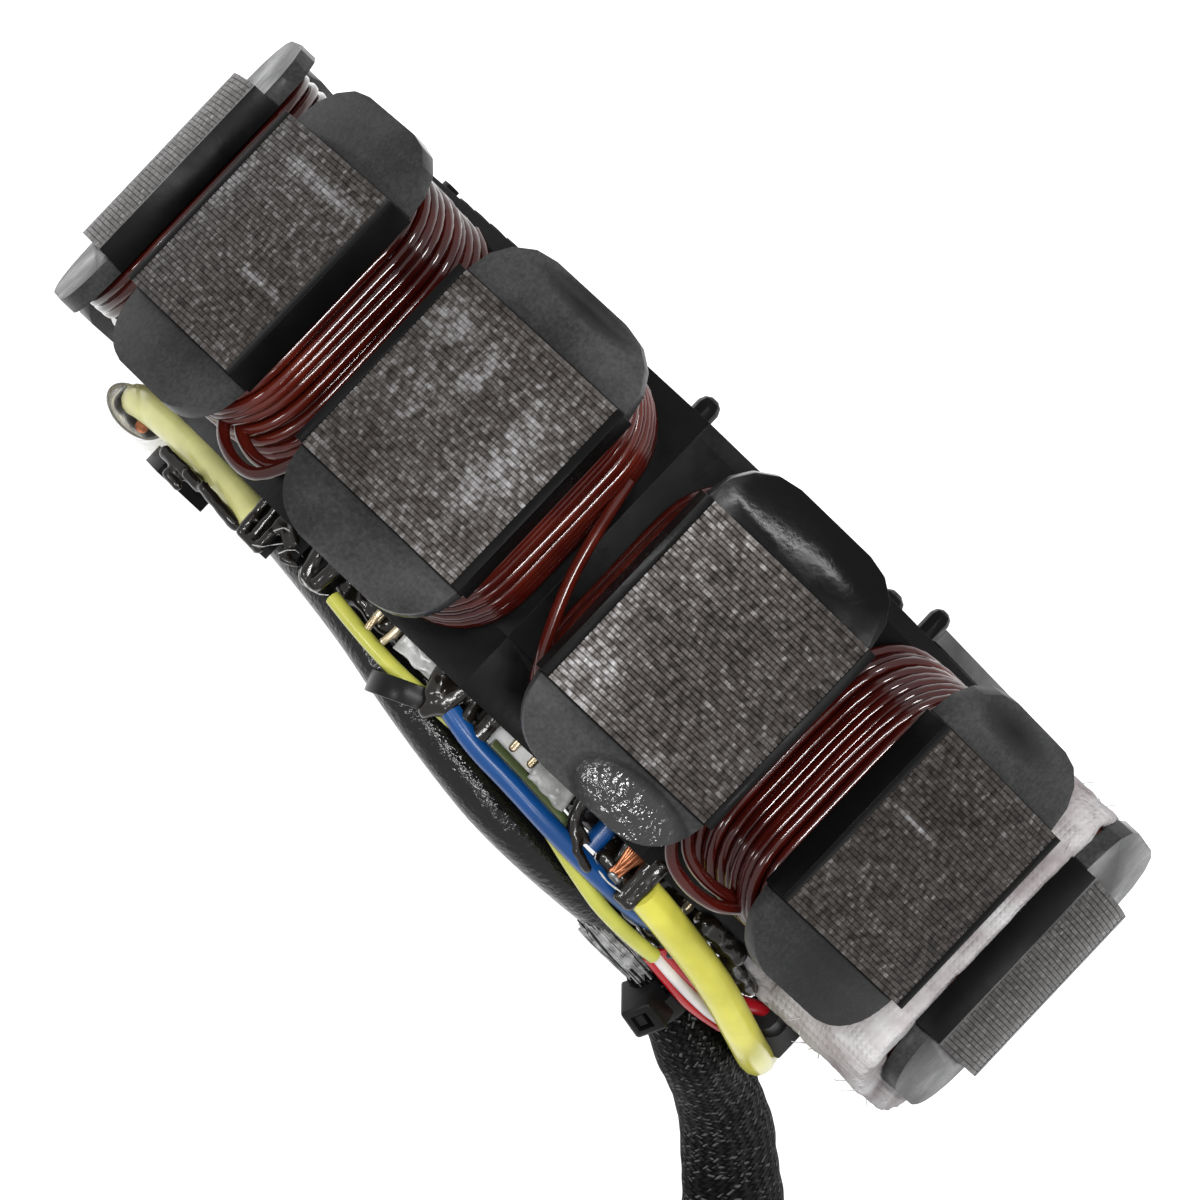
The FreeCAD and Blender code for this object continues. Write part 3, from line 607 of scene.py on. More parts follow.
# %% One layer of turns
def new_curve(name, diameter=0.0, sides=8):
    """An empty curve with a round section, its diameter in mm."""
    curve = bpy.data.curves.new(name, "CURVE")
    curve.dimensions = "3D"
    curve.bevel_depth = diameter / 2 * mm
    curve.bevel_resolution = max(0, sides // 2 - 2)
    curve.use_fill_caps = True
    return curve


def add_spline(curve, points, smoothness, thickness=None):
    """A smooth run through points in metres; a thickness can be stated for each."""
    spline = curve.splines.new("NURBS")
    spline.points.add(len(points) - 1)
    for number, point in enumerate(points):
        spline.points[number].co = (*point, 1.0)
        spline.points[number].radius = thickness[number] if thickness else 1.0
    spline.order_u = 3
    spline.use_endpoint_u = True
    spline.resolution_u = smoothness


def wound_layer(curve, flanks, half_length, corner, turns, low, high, spread, chance):
    """One layer of turns as a smooth spline that climbs on the lead side."""
    path = []
    step = (high - low) / (turns - 1)
    climb_starts = 0.75
    for turn in range(turns):
        wander = chance.uniform(-spread, spread)
        bow = chance.uniform(-0.3, 1.0) * spread * 2.2
        lean = chance.uniform(-0.45, 0.45) * step
        left, right = flanks[0] + wander, flanks[1] + wander
        outline = turn_outline(left, right, half_length + wander * 0.6, corner, bow)
        for number, (u, y) in enumerate(outline):
            share = number / len(outline)
            climb = max(0.0, (share - climb_starts) / (1 - climb_starts)) if turn < turns - 1 else 0.0
            height = low + (turn + climb) * step + lean * math.sin(math.pi * share) * 1.2
            path.append((u * mm, y * mm, min(max(height, low), high) * mm))
    add_spline(curve, path, 2)


# %% A heavy coil
def heavy_coil(number, angle, tucked=0.0):
    """Two layers of turns and a dark body; a tucked left flank lies deeper under its flange."""
    node = f"coil_{number:02d}"
    chance = random.Random(40 + number)
    radius = wire_diameter / 2
    half_width = barrel_half + coil_side_depth - radius
    half_length = barrel_end + coil_end_depth - radius
    low, high = window_bottom + radius, window_top - radius
    slack, layer_depth = 0.15, 1.0
    outer = (half_width - slack - tucked, half_width - slack)
    inner = (outer[0] - layer_depth, outer[1] - layer_depth)
    curve = new_curve(node + "_wire", wire_diameter)
    wound_layer(curve, outer, half_length - 0.1, coil_corner - radius, turns_deep, low, high,
                spread=0.17, chance=chance)
    wound_layer(curve, inner, half_length - layer_depth, coil_corner - 1.6, turns_deep - 1, low + radius,
                high - radius, spread=0.08, chance=chance)
    curve.transform(about_axis(angle))
    stands_for(placed(node + "_wire", curve, enamelled_copper), node, slot="enamelled_copper")

    body = bmesh.new()
    bmesh.ops.create_cube(body, size=1.0)
    width, length = 2 * (half_width - 1.3 - tucked), 2 * (half_length - 1.1)
    bmesh.ops.scale(body, vec=metres(width, length, high - low), verts=body.verts)
    bevel(body, upright_edges(body), width=5.0, segments=4)
    bmesh.ops.translate(body, verts=body.verts, vec=(0.0, 0.0, (low + high) / 2 * mm))
    bmesh.ops.transform(body, matrix=about_axis(angle), verts=body.verts)
    stands_for(finished(node + "_body", body, dark_copper), node, slot="enamelled_copper")


first_tuck = 1.3
for number, angle in enumerate(coil_angles, 1):
    heavy_coil(number, angle, tucked=first_tuck if number == 1 else 0.0)
print("coils wound:", len(coil_angles))


# %% [markdown]
# Round leads, wires and strands are all smooth curves with a round section. A curve keeps its route
# as a few points, which is how such a lead is bent by hand. A thickness can be stated for each point.


# %% Round curves
def round_curve(name, lines, diameter, finish, sides=8, smoothness=8, thickness=None):
    curve = new_curve(name, diameter, sides)
    for points in lines:
        add_spline(curve, points, smoothness, thickness)
    return placed(name, curve, finish)


# %% [markdown]
# A few wires leave their coils: one crosses the slot from one coil to the next, and the ends of two
# coils hang in loose loops on the lead side.

# %% Loose wires of the coils
crossing = [metres(-1.6, 7.0, 45.6), metres(-0.5, 2.0, 47.6), metres(0.6, -2.4, 48.8),
            metres(2.2, -6.5, 49.8), metres(4.2, -10.6, 50.4), metres(7.0, -13.4, 50.6)]
first_loop = [metres(-34.0, -11.0, 38.4), metres(-32.4, -14.6, 40.0), metres(-28.7, -16.2, 42.4),
              metres(-25.4, -15.2, 44.8), metres(-24.0, -11.0, 46.4)]
second_loop = [metres(21.8, -11.0, 46.8), metres(23.2, -14.6, 45.6), metres(27.1, -15.9, 43.6),
               metres(31.6, -14.8, 40.4), metres(33.6, -11.0, 38.2)]
loose_lines = [crossing]
for loop in (first_loop, second_loop):
    loose_lines.append(loop)
    loose_lines.append([point + metres(0.5, 1.5, -1.2) for point in loop])
loose_wires = round_curve("loose_coil_wires", loose_lines, wire_diameter, enamelled_copper, sides=12)
stands_for(loose_wires, slot="enamelled_copper")

# %% [markdown]
# The exciter coil is fine wire wrapped in woven cloth tape. The wrap is remeshed to an even skin,
# then lumps and the tape's soft edges are pushed into it. The weave is fine relief on top.

# %% Cloth tape
cloth_tape, cloth_surface = new_finish("woven_cloth_tape", (0.70, 0.66, 0.66), 0.85, mirror=0.2)
cloth_place = place_on_object(cloth_tape, turn=-exciter_angle)
thread_pitch = 0.62
weave = None
for way in three_ways(cloth_place):
    turns = calculate("MULTIPLY", way, math.pi / (thread_pitch * mm))
    thread = calculate("ABSOLUTE", calculate("SINE", turns))
    weave = thread if weave is None else calculate("MULTIPLY", weave, thread)
cloth_colour = ramp(speckle(cloth_place, 180.0, 4.0), [
    (0.32, (0.27, 0.23, 0.235)), (0.5, (0.44, 0.41, 0.41)), (0.7, (0.62, 0.61, 0.61))])
join(cloth_colour, cloth_surface.inputs["Base Color"])
relief(cloth_surface, weave, 0.12, 0.9)


# %% The wrap's soft form
def cloth_pad():
    mesh = merged_copy("cloth_wrap")
    bmesh.ops.triangulate(mesh, faces=mesh.faces)
    pad = finished("cloth_wrap_pad", mesh, cloth_tape)
    one_skin(pad, fineness=0.42, passes=6)
    for vert in pad.data.vertices:
        lump = noise.noise(vert.co * 160.0) * 0.40 + noise.noise(vert.co * 520.0) * 0.22
        lump += noise.noise(vert.co * 1300.0) * 0.10
        vert.co += vert.normal * lump * mm
    return stands_for(pad, "cloth_wrap", slot="cloth_tape")


wrap = cloth_pad()
print("cloth faces:", len(wrap.data.polygons))
fine_copper = mottled("fine_copper", (0.10, 0.02, 0.01), (0.25, 0.06, 0.03), 0.4, metallic=0.4)
dress(nodes["exciter_coil"], fine_copper)


# %% [markdown]
# Glass cloth frays. Short loose threads stand off the wrap's edges and its face, each a thin curve
# from a point of the wrap's own skin.


# %% Loose threads of the cloth
def loose_threads(piece, count, reach, seed):
    """Short lines off the wrap's skin, most of them near its two ends; a reach in mm."""
    end_zone, share_elsewhere = 14.5 * mm, 0.25
    chance = random.Random(seed)
    lines = []
    verts = piece.data.vertices
    while len(lines) < count:
        vert = verts[chance.randrange(len(verts))]
        if abs(vert.co.y) <= end_zone and chance.random() > share_elsewhere:
            continue
        drift = Vector([chance.uniform(-1, 1) for _ in range(3)]) * reach * mm
        middle = vert.co + vert.normal * reach * 0.25 * mm + drift * 0.5
        lines.append([vert.co.copy(), middle, vert.co + vert.normal * 0.1 * reach * mm + drift])
    return lines


thread_white = mottled("glass_thread", (0.50, 0.47, 0.47), (0.78, 0.76, 0.75), 0.7, scale=500.0)
thread_lines = loose_threads(wrap, count=130, reach=1.1, seed=5)
threads_out = round_curve("cloth_threads", thread_lines, 0.09, thread_white, sides=4, smoothness=3)
stands_for(threads_out, slot="cloth_tape")

# %% [markdown]
# Leads and sleeves are smooth round curves through the same places as in the model. Their plastic
# has a soft gloss and a faint mottle.


# %% Lead plastics
def lead_plastic(name, colour, roughness=0.25, mirror=0.45, coarse=500.0, depth=0.03):
    plastic, surface = new_finish(name, colour, roughness, mirror=mirror)
    place = place_on_object(plastic)
    tone = speckle(place, 140.0, 3.0)
    shade = 0.78
    darker = tuple(channel * shade for channel in colour)
    join(ramp(tone, [(0.35, darker), (0.65, colour)]), surface.inputs["Base Color"])
    relief(surface, speckle(place, coarse, 2.0), depth, 0.4)
    return plastic


yellow_sleeving = lead_plastic("yellow_sleeving", (0.78, 0.73, 0.10))
# The first sleeve's copy of the sleeving is paler and brighter: partly a paler tone, partly painted light
# that lifts it out of the flanges' shade.
yellow_sleeving_with_painted_light = lead_plastic("yellow_sleeving_with_painted_light", (0.86, 0.84, 0.33))
yellow_wire = lead_plastic("yellow_wire", (0.58, 0.58, 0.10))
blue_wire = lead_plastic("blue_wire", (0.003, 0.064, 0.24), 0.28)
green_wire = lead_plastic("green_wire", (0.11, 0.14, 0.055))
white_wire = lead_plastic("white_wire", (0.84, 0.80, 0.80))
red_wire = lead_plastic("red_wire", (0.48, 0.003, 0.012))
black_rubber = lead_plastic("black_rubber", grey(0.008), 0.4, mirror=0.2)
black_tube = lead_plastic("black_varnished_tube", grey(0.007), 0.13, mirror=0.36, coarse=1900.0, depth=0.35)


# %% Round leads
def rim_lead(name, node, slot, finish, diameter, places):
    """A lead through places by the lower rim: angle, distance out from the wall, reach past it."""
    points = [rim_point(*place) for place in places]
    lead = round_curve(name, [points], diameter, finish, sides=14, smoothness=10)
    stands_for(lead, node, slot=slot)


first_sleeve = [(-37.3, -1.2, 1.8), (-50.5, -1.0, 1.2), (-61.0, 0.3, 1.0), (-71.0, 2.4, 1.4)]
first_sleeve += [(-80.0, 3.0, 1.9), (-94.0, 2.4, 2.4), (-105.0, 1.4, 2.7)]
rim_lead("first_yellow_sleeve", "yellow_sleeve_a", "yellow_sleeving", yellow_sleeving_with_painted_light, 3.3, first_sleeve)
second_sleeve = [(34.4, 1.3, 2.2), (49.7, 1.9, 3.3), (64.2, 3.0, 5.8), (76.0, 2.3, 6.8)]
second_sleeve += [(84.0, 1.4, 6.6), (92.0, 0.5, 4.2), (100.0, 0.3, 1.8)]
rim_lead("second_yellow_sleeve", "yellow_sleeve_b", "yellow_sleeving", yellow_sleeving, 3.4, second_sleeve)
thin_yellow = [(-21.1, -1.6, 2.1), (-10.9, -1.5, 3.1), (1.4, -1.8, 2.7), (8.0, -2.5, 2.6)]
thin_yellow += [(14.5, -2.7, 2.9), (20.0, -2.3, 3.6), (28.0, -1.7, 5.1), (36.5, -1.1, 6.2)]
thin_yellow += [(46.2, -1.5, 5.9)]
rim_lead("thin_yellow_wire", "thin_yellow_lead", "yellow_wire", yellow_wire, 1.5, thin_yellow)
blue = [(-1.2, -0.4, 1.8), (3.0, 0.2, 2.5), (7.0, 0.3, 3.0), (11.6, 0.3, 3.1), (21.6, 0.3, 3.7)]
blue += [(31.7, -0.3, 4.0), (42.5, -1.4, 3.9), (51.0, -1.8, 1.7)]
rim_lead("blue_wire_lead", "blue_lead", "blue_wire", blue_wire, 2.0, blue)
green = [(7.5, -1.2, 1.9), (14.9, -1.1, 2.1), (25.0, -1.4, 2.8)]
rim_lead("green_wire_lead", "green_lead", "green_wire", green_wire, 1.5, green)
white = [(46.2, -2.2, 5.7), (50.0, -1.8, 6.0), (56.0, -1.1, 6.3), (65.6, -0.2, 6.4), (72.6, 1.0, 5.2)]
rim_lead("white_wire_lead", "white_lead", "white_wire", white_wire, 1.2, white)
red = [(46.6, -2.0, 4.7), (51.0, -1.7, 5.1), (58.0, -1.0, 5.2), (65.9, -0.3, 3.9), (72.8, 0.5, 2.6)]
rim_lead("red_wire_lead", "red_lead", "red_wire", red_wire, 1.5, red)
under_red = [(46.6, -2.3, 6.4), (54.0, -1.9, 7.0), (61.0, -1.4, 7.3), (68.0, -0.6, 6.8)]
under_red = [rim_point(*place) for place in under_red]
stands_for(round_curve("red_wire_under", [under_red], 0.9, red_wire, sides=12), slot="red_wire")
rubber_end = [(71.3, 0.5, 3.1), (76.0, 0.6, 3.2), (81.2, 0.6, 3.2)]
rim_lead("rubber_grommet", "lead_grommet", "black_rubber", black_rubber, 3.5, rubber_end)
blue_stub = [(26.5, -1.35, -4.9), (26.5, -1.35, -1.0), (26.5, -1.35, 2.5)]
rim_lead("blue_wire_end", "blue_terminal", "blue_wire", blue_wire, 2.0, blue_stub)


# %% [markdown]
# Varnish and moulded hooks on the lead side have no straight edges left. Each such lump is laid out
# as short round strokes, which are joined into one skin, smoothed and roughened a little. It is the
# quickest way to a form that was never drawn but ran and set.


# %% Lumps from strokes
def lump(name, strokes, finish, slot, fineness=0.2, rough=0.12):
    """One soft body from strokes in mm: two end points and a radius at each."""
    mesh = bmesh.new()
    for start, end, radius_start, radius_end in strokes:
        start, end = Vector(start), Vector(end)
        steps = max(1, math.ceil((end - start).length / (0.5 * min(radius_start, radius_end))))
        for step in range(steps + 1):
            share = step / steps
            spot = start.lerp(end, share)
            radius = radius_start + (radius_end - radius_start) * share
            bmesh.ops.create_icosphere(mesh, subdivisions=2, radius=radius * mm,
                                       matrix=Matrix.Translation(spot * mm))
    body = finished(name, mesh, finish)
    one_skin(body, fineness, passes=4)
    bumps_per_metre = 900.0
    for vert in body.data.vertices:
        vert.co += vert.normal * noise.noise(vert.co * bumps_per_metre) * rough * mm
    stands_for(body, slot=slot)


# %% Hooks and varnish on the lead side
set_varnish = lead_plastic("set_black_varnish", (0.010, 0.008, 0.006), 0.16, mirror=0.45)
varnish = {
    "varnished_sleeve_clip": [
        ((-25.2, -16.3, 34.0), (-24.9, -20.2, 34.2), 0.55, 0.5),
        ((-24.0, -16.3, 34.6), (-23.7, -20.3, 34.7), 0.45, 0.45),
        ((-22.7, -16.3, 35.2), (-22.6, -20.2, 35.3), 0.6, 0.55),
        ((-24.9, -20.3, 34.1), (-22.6, -20.3, 35.2), 0.5, 0.5),
        ((-22.4, -17.0, 35.2), (-20.3, -18.5, 36.3), 0.6, 0.5),
        ((-21.6, -16.4, 35.9), (-20.3, -17.6, 36.6), 0.5, 0.5)],
    "varnished_hooks": [
        ((-20.8, -16.4, 36.2), (-20.2, -19.4, 36.3), 0.5, 0.5),
        ((-20.2, -19.4, 36.3), (-18.8, -18.9, 36.9), 0.45, 0.35),
        ((-18.0, -16.2, 37.6), (-17.5, -18.9, 37.7), 1.0, 0.9),
        ((-15.9, -16.2, 38.6), (-16.1, -18.7, 38.4), 0.95, 0.8),
        ((-17.4, -19.2, 37.6), (-16.2, -19.1, 38.2), 0.7, 0.7)],
    "varnished_anchor": [
        ((-2.3, -16.2, 41.5), (-1.4, -18.6, 41.7), 1.0, 1.1),
        ((0.2, -16.2, 41.6), (-0.2, -18.9, 41.7), 1.1, 1.1),
        ((-0.6, -19.3, 41.6), (-0.9, -20.2, 41.2), 1.1, 0.9),
        ((1.6, -16.2, 41.6), (2.2, -18.4, 41.7), 0.6, 0.7),
        ((4.0, -16.2, 41.4), (4.0, -19.0, 41.6), 1.0, 0.9),
        ((2.4, -18.9, 41.6), (4.0, -19.2, 41.5), 0.6, 0.7)],
    "varnished_lead_hook": [
        ((14.7, -16.2, 38.9), (15.4, -18.4, 38.7), 0.8, 0.7),
        ((15.4, -18.4, 38.7), (17.2, -20.1, 38.5), 0.7, 0.65),
        ((17.2, -20.1, 38.5), (19.2, -20.8, 37.6), 0.65, 0.5),
        ((16.2, -18.6, 38.6), (17.5, -18.9, 38.2), 0.5, 0.4),
        ((20.2, -16.2, 36.8), (20.6, -18.3, 36.6), 0.5, 0.4)],
    "varnished_end_clip": [
        ((23.1, -16.2, 36.4), (23.0, -20.6, 36.3), 0.70, 0.60),
        ((24.1, -16.2, 36.1), (24.1, -20.6, 35.9), 0.75, 0.65),
        ((23.0, -20.6, 36.3), (24.1, -20.6, 35.9), 0.6, 0.6),
        ((19.5, -19.1, 36.0), (22.4, -19.3, 35.6), 0.9, 0.9)],
    "varnish_by_the_bracket": [
        ((-30.6, -19.8, 30.0), (-26.0, -20.2, 31.5), 0.6, 0.7),
        ((-34.4, -21.2, 25.4), (-33.0, -21.4, 25.8), 0.6, 0.55),
        ((-32.7, -19.9, 28.6), (-31.0, -20.0, 29.2), 0.6, 0.6),
        ((-36.0, -20.0, 24.2), (-31.8, -19.9, 27.0), 0.75, 0.75)]}
for name, strokes in varnish.items():
    lump(name, strokes, set_varnish, "bobbin_black")

# %% Rougher drops
rough_varnish = {
    "varnish_on_wire_ends": [
        ((30.4, -17.2, 29.6), (34.2, -17.4, 26.0), 1.1, 1.2),
        ((34.2, -18.2, 25.6), (37.4, -18.9, 20.6), 1.0, 0.9),
        ((19.0, -18.4, 34.6), (22.0, -18.6, 33.6), 1.0, 1.0),
        ((23.5, -21.0, 30.2), (29.6, -21.2, 26.4), 0.9, 0.9)],
    "varnish_crease_in_slot": [
        ((0.1, 15.6, 42.6), (-0.1, 3.0, 42.6), 0.28, 0.34),
        ((-0.1, 3.0, 42.6), (0.2, -16.2, 42.6), 0.34, 0.30)]}
for name, strokes in rough_varnish.items():
    lump(name, strokes, set_varnish, "bobbin_black", rough=0.3)
print("lumps of varnish:", len(varnish) + len(rough_varnish))


# %% [markdown]
# The cloth wrap hangs a little below the rim beside the leads, in one soft roll.

# %% Cloth below the wrap
cloth_below = [((33.6, -16.9, 24.0), (38.5, -17.0, 19.0), 1.0, 1.1),
               ((38.5, -17.0, 19.0), (43.5, -17.2, 10.0), 1.1, 1.2)]
lump("cloth_below_the_wrap", cloth_below, cloth_tape, "cloth_tape", fineness=0.25, rough=0.3)


# %% [markdown]
# Between hooks and wires the varnish also dries as thin pale webs. They are rims and scraps of a
# clear film: thin strokes, and small sheets with a crumpled edge. The thin strokes' pale colour is
# partly the film's edge and partly a painted highlight along it.


# %% Pale webs and films
pale_film = mottled("pale_varnish_film", (0.30, 0.30, 0.29), (0.58, 0.58, 0.56), 0.25, mirror=0.5,
                    scale=700.0)


def film_rims_with_painted_highlight(name, rims, thickness):
    """Rims of pale film, each through a few places in mm; their paleness is partly painted highlight."""
    strokes = [(start, end, thickness, thickness) for rim in rims for start, end in zip(rim, rim[1:])]
    lump(name, strokes, pale_film, "pale_plate", fineness=0.12, rough=0.08)


film_rims_with_painted_highlight("film_rim_highlight_at_joint", [
    [(18.8, -19.2, 37.1), (19.1, -19.7, 37.1), (20.0, -20.2, 37.0), (21.4, -20.4, 36.9),
     (22.9, -20.2, 36.9)]], 0.15)
film_rims_with_painted_highlight("film_rim_highlights_on_clips", [
    [(-23.1, -20.4, 36.2), (-22.3, -19.9, 36.2), (-21.8, -19.2, 36.2), (-21.0, -18.2, 36.2),
     (-19.9, -17.3, 36.2)],
    [(-22.5, -18.1, 36.4), (-22.1, -17.3, 36.4), (-21.1, -17.0, 36.4), (-19.8, -17.1, 36.4)],
    [(-20.7, -19.3, 37.2), (-20.4, -18.6, 37.2), (-19.8, -18.0, 37.2), (-18.8, -18.0, 37.2)],
    [(-18.2, -18.7, 38.9), (-17.8, -19.4, 38.9), (-16.5, -19.7, 38.9), (-15.3, -19.4, 38.9),
     (-14.7, -18.9, 38.9)]], 0.11)


# %% Scraps of sheet
def crumpled_sheet(name, corner, across, down, finish):
    """A thin scrap between a corner and two sides, in mm, with a torn lower edge."""
    mesh = bmesh.new()
    bmesh.ops.create_grid(mesh, x_segments=14, y_segments=10, size=0.5)
    for vert in mesh.verts:
        share_across, share_down = vert.co.x + 0.5, vert.co.y + 0.5
        torn = 1.0 + 0.35 * noise.noise(Vector((share_across * 3.0, corner[0], 0.0)))
        spot = Vector(corner) + Vector(across) * share_across + Vector(down) * share_down * torn
        spot.z += 0.25 * noise.noise(spot * 0.8)
        vert.co = spot * mm
    bmesh.ops.solidify(mesh, geom=mesh.faces[:], thickness=0.12 * mm)
    stands_for(finished(name, mesh, finish), slot="pale_plate")


white_finish = mottled("white_insulating_sheet", grey(0.86), (0.94, 0.94, 0.92), 0.5, scale=260.0)
crumpled_sheet("white_sheet", (4.7, -16.3, 39.3), (4.9, 0.0, -0.6), (0.0, -2.5, 0.0), white_finish)
crumpled_sheet("film_scrap_right", (9.5, -16.4, 39.6), (4.4, 0.0, -1.3), (0.2, -2.2, 0.0), pale_film)
crumpled_sheet("film_scrap_left", (-7.2, -16.4, 40.2), (4.8, 0.0, 0.5), (0.1, -1.8, 0.0), pale_film)
pale_plate = mottled("pale_plate", (0.50, 0.50, 0.49), (0.74, 0.74, 0.72), 0.45, scale=260.0)
softened("terminal_plates", "insulating_plates", 0.12, pale_plate, "pale_plate")


# %% [markdown]
# Behind the leads the slots' ends are dark, so that no floor is seen between the wall and the
# leads. One long low drift in the black varnish finish lies on the end plate: painted shade, a dark
# filler where the gaps are in shade.

# %% Dark drift behind the leads, as painted shade
drift = []
stroke_turn, stroke_reach, stroke_radius = 4, 0.2, 1.5
for angle in range(-66, 62, stroke_turn):
    depth_in = -4.4 if angle < -34 else -3.6
    start = rim_point(angle, depth_in, stroke_reach) / mm
    end = rim_point(angle + stroke_turn, depth_in, stroke_reach) / mm
    drift.append((start, end, stroke_radius, stroke_radius))
lump("dark_drift_as_painted_shade", drift, set_varnish, "bobbin_black", fineness=0.35, rough=0.35)

# %% [markdown]
# Bent pins end the wires. Tinned brass is pale and warm. At the solder joint the copper strands fan
# out and meet in a drop of grey solder.

# %% Pins and the soldered joint
tinned_pin = mottled("tinned_pin", (0.36, 0.28, 0.17), (0.66, 0.58, 0.42), 0.30, metallic=0.8, scale=500.0)
softened("terminal_pins", "wire_end_pins", 0.16, tinned_pin, "tinned_pins")
staples = [[metres(-10.1, -16.0, 40.4), metres(-10.15, -17.6, 40.5), metres(-9.9, -18.6, 40.2)],
           [metres(-7.9, -16.0, 40.8), metres(-7.85, -17.6, 40.9), metres(-8.1, -18.6, 40.6)]]
stands_for(round_curve("long_wire_pins", staples, 0.72, tinned_pin, sides=10), slot="tinned_pins")
bare_copper = mottled("bare_copper", (0.12, 0.036, 0.016), (0.40, 0.155, 0.072), 0.28, metallic=0.7,
                      scale=420.0)
chance = random.Random(9)
strands = []
for number in range(9):
    top = metres(20.4 + number * 0.30, -15.5, 36.9 - number * 0.16)
    bend = metres(20.9 + number * 0.17 + chance.uniform(-0.2, 0.2), -17.9, 37.1 - number * 0.08)
    tip = metres(21.3 + chance.uniform(-0.5, 0.5), -19.5 + chance.uniform(-0.3, 0.3), 36.9)
    strands.append([top, bend, tip])
copper_strands = round_curve("copper_strands", strands, 0.42, bare_copper)
stands_for(copper_strands, "solder_joint", slot="bare_copper")
solder = mottled("old_solder", grey(0.12), grey(0.42), 0.35, metallic=0.8, scale=500.0)
lump("solder_drop", [((21.2, -19.6, 36.7), (21.9, -19.7, 36.6), 0.5, 0.42)], solder, "bare_copper",
     fineness=0.14)


# %% [markdown]
# Some soft tubes are not round: the braid is pressed flat and pinched, and the clear sleeve's mouth
# is an oval. Such a tube is a row of rings set across a smooth line and bridged, with a half width
# and a half height for each place along it. Its map gives length and turn, so that a woven finish
# can follow the bends.


# %% A smooth line through route points
def smooth_line(points, per_run):
    curve = new_curve("line")
    add_spline(curve, points, per_run)
    holder = placed("line", curve)
    graph = bpy.context.evaluated_depsgraph_get()
    line = bpy.data.meshes.new_from_object(holder.evaluated_get(graph))
    spots = [vert.co.copy() for vert in line.vertices]
    bpy.data.objects.remove(holder)
    return spots


def lengths_along(line):
    lengths = [0.0]
    for a, b in zip(line, line[1:]):
        lengths.append(lengths[-1] + (b - a).length)
    return lengths


def between(table, station):
    """The values of a table at a station: its rows are a station and the values there."""
    for low, high in zip(table, table[1:]):
        if station <= high[0]:
            share = max(0.0, (station - low[0]) / (high[0] - low[0]))
            share = share * share * (3 - 2 * share)
            return [a + (b - a) * share for a, b in zip(low[1:], high[1:])]
    return list(table[-1][1:])


# %% A soft tube
def soft_tube(name, line, table, sides, finish, first_up, fold=0.0, wall=0.0):
    """A tube with a half width and a half height in mm for each station in mm."""
    folds_per_metre, creases_per_metre = 110.0, 320.0
    mesh = bmesh.new()
    layer = mesh.loops.layers.uv.new("along")
    lengths = lengths_along(line)
    up = Vector(first_up)
    place_of = {}
    rings = []
    for number, spot in enumerate(line):
        ahead = (line[min(number + 1, len(line) - 1)] - line[max(number - 1, 0)]).normalized()
        up = (up - ahead * up.dot(ahead)).normalized()
        half_width, half_height = between(table, lengths[number] / mm)
        across = up.cross(ahead)
        turn = Matrix((across * half_width, up * half_height, ahead)).transposed().to_4x4()
        turn.translation = spot
        ring = bmesh.ops.create_circle(mesh, segments=sides, radius=mm, matrix=turn)["verts"]
        for side, vert in enumerate(ring):
            place_of[vert] = (number, side)
            swell = noise.noise(vert.co * folds_per_metre)
            swell += 0.5 * noise.noise(vert.co * creases_per_metre)
            vert.co += (vert.co - spot) * fold * swell
        rings.append(ring)
    edges_of = [{edge for vert in ring for edge in vert.link_edges} for ring in rings]
    for low, high in zip(edges_of, edges_of[1:]):
        bmesh.ops.bridge_loops(mesh, edges=list(low | high))
    for face in mesh.faces:
        on_seam = {place_of[loop.vert][1] for loop in face.loops} == {0, sides - 1}
        for loop in face.loops:
            number, side = place_of[loop.vert]
            share = 1.0 if on_seam and side == 0 else side / sides
            loop[layer].uv = (lengths[number], share)
    if wall:
        bmesh.ops.recalc_face_normals(mesh, faces=mesh.faces)
        bmesh.ops.solidify(mesh, geom=mesh.faces[:], thickness=wall * mm)
    else:
        bmesh.ops.holes_fill(mesh, edges=mesh.edges, sides=sides)
        bmesh.ops.recalc_face_normals(mesh, faces=mesh.faces)
    return finished(name, mesh, finish)


# %% [markdown]
# The clear sleeve stands open towards the camera, an oval mouth round the yellow sleeve. Inside are
# the cut copper end and dark varnish.

# %% Clear sleeve
clear_sleeving, clear_surface = new_finish("clear_sleeving", (0.88, 0.86, 0.80), 0.10, mirror=0.5)
clear_surface.inputs["Transmission Weight"].default_value = 0.9
clear_surface.inputs["IOR"].default_value = 1.35
clear_stain = speckle(place_on_object(clear_sleeving), 400.0, 4.0)
clear_colour = ramp(clear_stain, [(0.35, (0.72, 0.68, 0.58)), (0.6, (0.93, 0.92, 0.90))])
join(clear_colour, clear_surface.inputs["Base Color"])
relief(clear_surface, clear_stain, 0.08, 0.6)
clear_line = smooth_line([metres(-42.2, -19.3, 13.2), metres(-42.9, -19.4, 7.0), metres(-43.3, -19.4, -2.0),
                          metres(-41.6, -19.4, -11.0)], 10)
clear_table = [(0.0, 3.35, 2.05), (2.0, 3.15, 2.1), (9.0, 2.7, 2.5), (26.0, 2.55, 2.55)]
clear_tube = soft_tube("clear_sleeve_open", clear_line, clear_table, 40, clear_sleeving, (0.0, 1.0, 0.0),
                       fold=0.03, wall=0.22)
stands_for(clear_tube, "clear_sleeve", slot="clear_sleeving")
sleeve_dark = [((-42.0, -19.3, 5.0), (-42.3, -19.3, 8.4), 1.8, 1.7),
               ((-40.9, -19.3, 8.0), (-44.0, -19.3, 7.6), 1.5, 1.5)]
lump("varnish_in_sleeve", sleeve_dark, set_varnish, "clear_sleeving", fineness=0.25)
cut_end = [metres(-41.0, -20.0, 11.6), metres(-41.4, -19.9, 9.6), metres(-42.0, -19.6, 7.0)]
